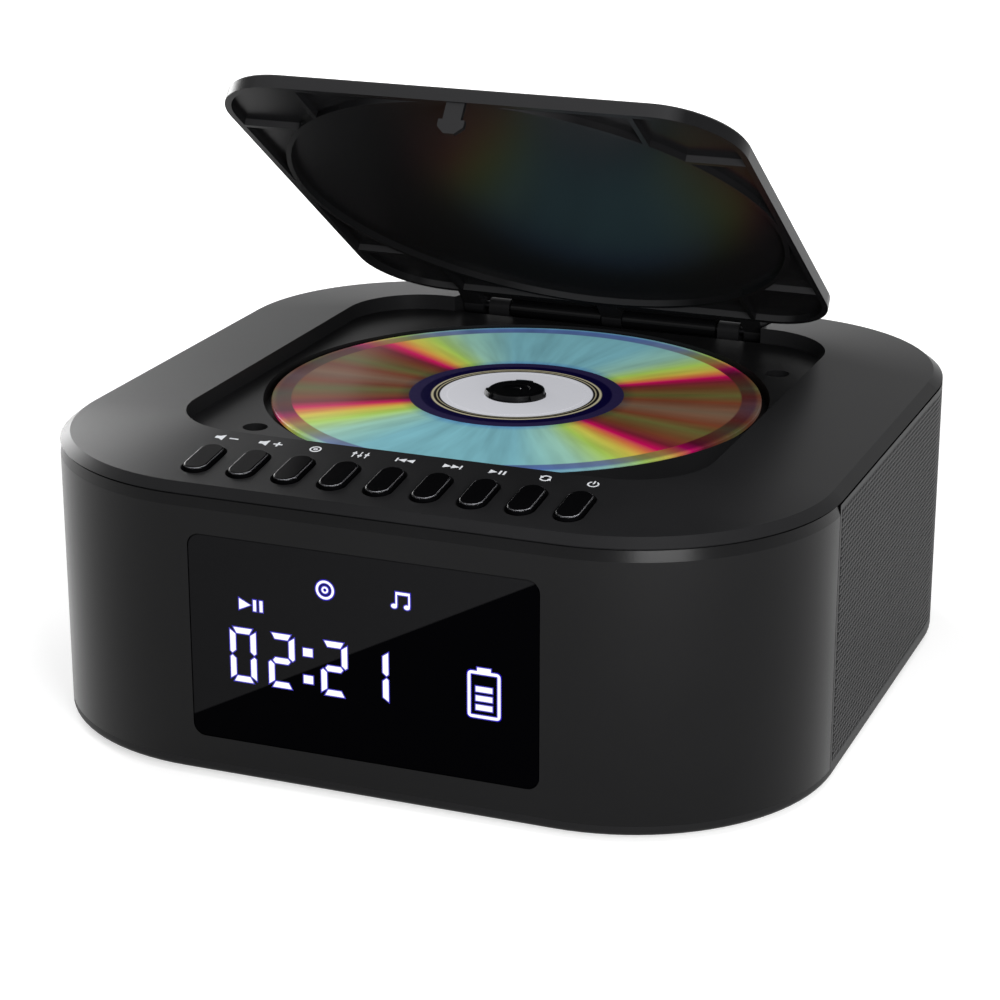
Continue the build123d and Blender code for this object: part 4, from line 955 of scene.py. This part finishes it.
def stage_floor():
    """Pale floor that keeps the shadow."""
    mesh = bmesh.new()
    bmesh.ops.create_grid(mesh, x_segments=1, y_segments=1, size=FLOOR_SIZE)
    data = bpy.data.meshes.new("floor")
    mesh.to_mesh(data)
    mesh.free()
    floor = bpy.data.objects.new("floor", data)
    bpy.context.scene.collection.objects.link(floor)
    made = Shader("floor_pale")
    rays = made.node("ShaderNodeLightPath")
    seen = made.math("MAXIMUM", rays.outputs["Is Camera Ray"], rays.outputs["Is Glossy Ray"])
    place = made.node("ShaderNodeTexCoord")
    away = made.node("ShaderNodeVectorMath", operation="LENGTH")
    made.link(place.outputs["Object"], away.inputs[0])
    far = made.node("ShaderNodeMapRange")
    far.inputs["From Min"].default_value = FLOOR_NEAR
    far.inputs["From Max"].default_value = FLOOR_FAR
    far.inputs["To Min"].default_value = FLOOR_GLOW
    far.inputs["To Max"].default_value = 1.0
    made.link(away.outputs["Value"], far.inputs["Value"])
    glow = made.node("ShaderNodeEmission")
    made.link(far.outputs["Result"], glow.inputs["Strength"])
    both = made.node("ShaderNodeAddShader")
    dull = made.node("ShaderNodeBsdfDiffuse")
    dull.inputs["Color"].default_value = (0.62, 0.62, 0.62, 1)
    mix = made.node("ShaderNodeMixShader")
    made.link(dull.outputs[0], both.inputs[0])
    made.link(glow.outputs[0], both.inputs[1])
    made.link(seen, mix.inputs[0])
    made.link(dull.outputs[0], mix.inputs[1])
    made.link(both.outputs[0], mix.inputs[2])
    made.link(mix.outputs[0], made.output.inputs["Surface"])
    data.materials.append(made.material)


def sky():
    """White behind the object, and a plain level of light on it."""
    world = bpy.data.worlds.new("studio")
    bpy.context.scene.world = world
    world.use_nodes = True
    tree = world.node_tree
    tree.nodes.clear()
    rays = tree.nodes.new("ShaderNodeLightPath")
    mix = tree.nodes.new("ShaderNodeMixShader")
    plain = tree.nodes.new("ShaderNodeBackground")
    white = tree.nodes.new("ShaderNodeBackground")
    plain.inputs["Strength"].default_value = 0.45
    white.inputs["Strength"].default_value = 1.0
    seen = tree.nodes.new("ShaderNodeMath")
    seen.operation = "MAXIMUM"
    seen_all = tree.nodes.new("ShaderNodeMath")
    seen_all.operation = "MAXIMUM"
    out = tree.nodes.new("ShaderNodeOutputWorld")
    tree.links.new(rays.outputs["Is Camera Ray"], seen.inputs[0])
    tree.links.new(rays.outputs["Is Glossy Ray"], seen.inputs[1])
    tree.links.new(seen.outputs[0], seen_all.inputs[0])
    tree.links.new(rays.outputs["Is Transmission Ray"], seen_all.inputs[1])
    tree.links.new(seen_all.outputs[0], mix.inputs[0])
    tree.links.new(plain.outputs[0], mix.inputs[1])
    tree.links.new(white.outputs[0], mix.inputs[2])
    tree.links.new(mix.outputs[0], out.inputs["Surface"])


def lamp(name, place, target, size, power):
    """A square soft lamp aimed at a point."""
    data = bpy.data.lights.new(name, "AREA")
    data.shape = "SQUARE"
    data.size = size
    data.energy = power
    made = bpy.data.objects.new(name, data)
    bpy.context.scene.collection.objects.link(made)
    made.location = place
    made.rotation_euler = (Vector(target) - Vector(place)).to_track_quat("-Z", "Y").to_euler()


def photo_camera():
    """The camera at the photograph's place and angle."""
    a, e = radians(CAMERA_AZIMUTH), radians(CAMERA_ELEVATION)
    right = Vector((cos(a), sin(a), 0))
    back = Vector((sin(a) * cos(e), -cos(a) * cos(e), sin(e)))
    up = back.cross(right)
    data = bpy.data.cameras.new("photo_camera")
    data.lens = CAMERA_LENS
    data.clip_start = 0.05
    made = bpy.data.objects.new("photo_camera", data)
    bpy.context.scene.collection.objects.link(made)
    place = right * CAMERA_RIGHT + up * CAMERA_UP + back * CAMERA_DISTANCE + Vector((0, 0, CAMERA_FOOT))
    turn = Matrix((right, up, back)).transposed().to_4x4()
    made.matrix_world = Matrix.Translation(place * MM) @ turn
    bpy.context.scene.camera = made


key_signs()
key_rims()
hinge_sleeve()
display_signs()
disc_piece()
hub_piece()
grille_piece(-1, "grille_left_sheet", "grille_left")
grille_piece(1, "grille_right_sheet", "grille_right")
stage_floor()
sky()
for values in LAMPS:
    lamp(*values)
photo_camera()
bpy.context.scene.view_settings.view_transform = "Standard"
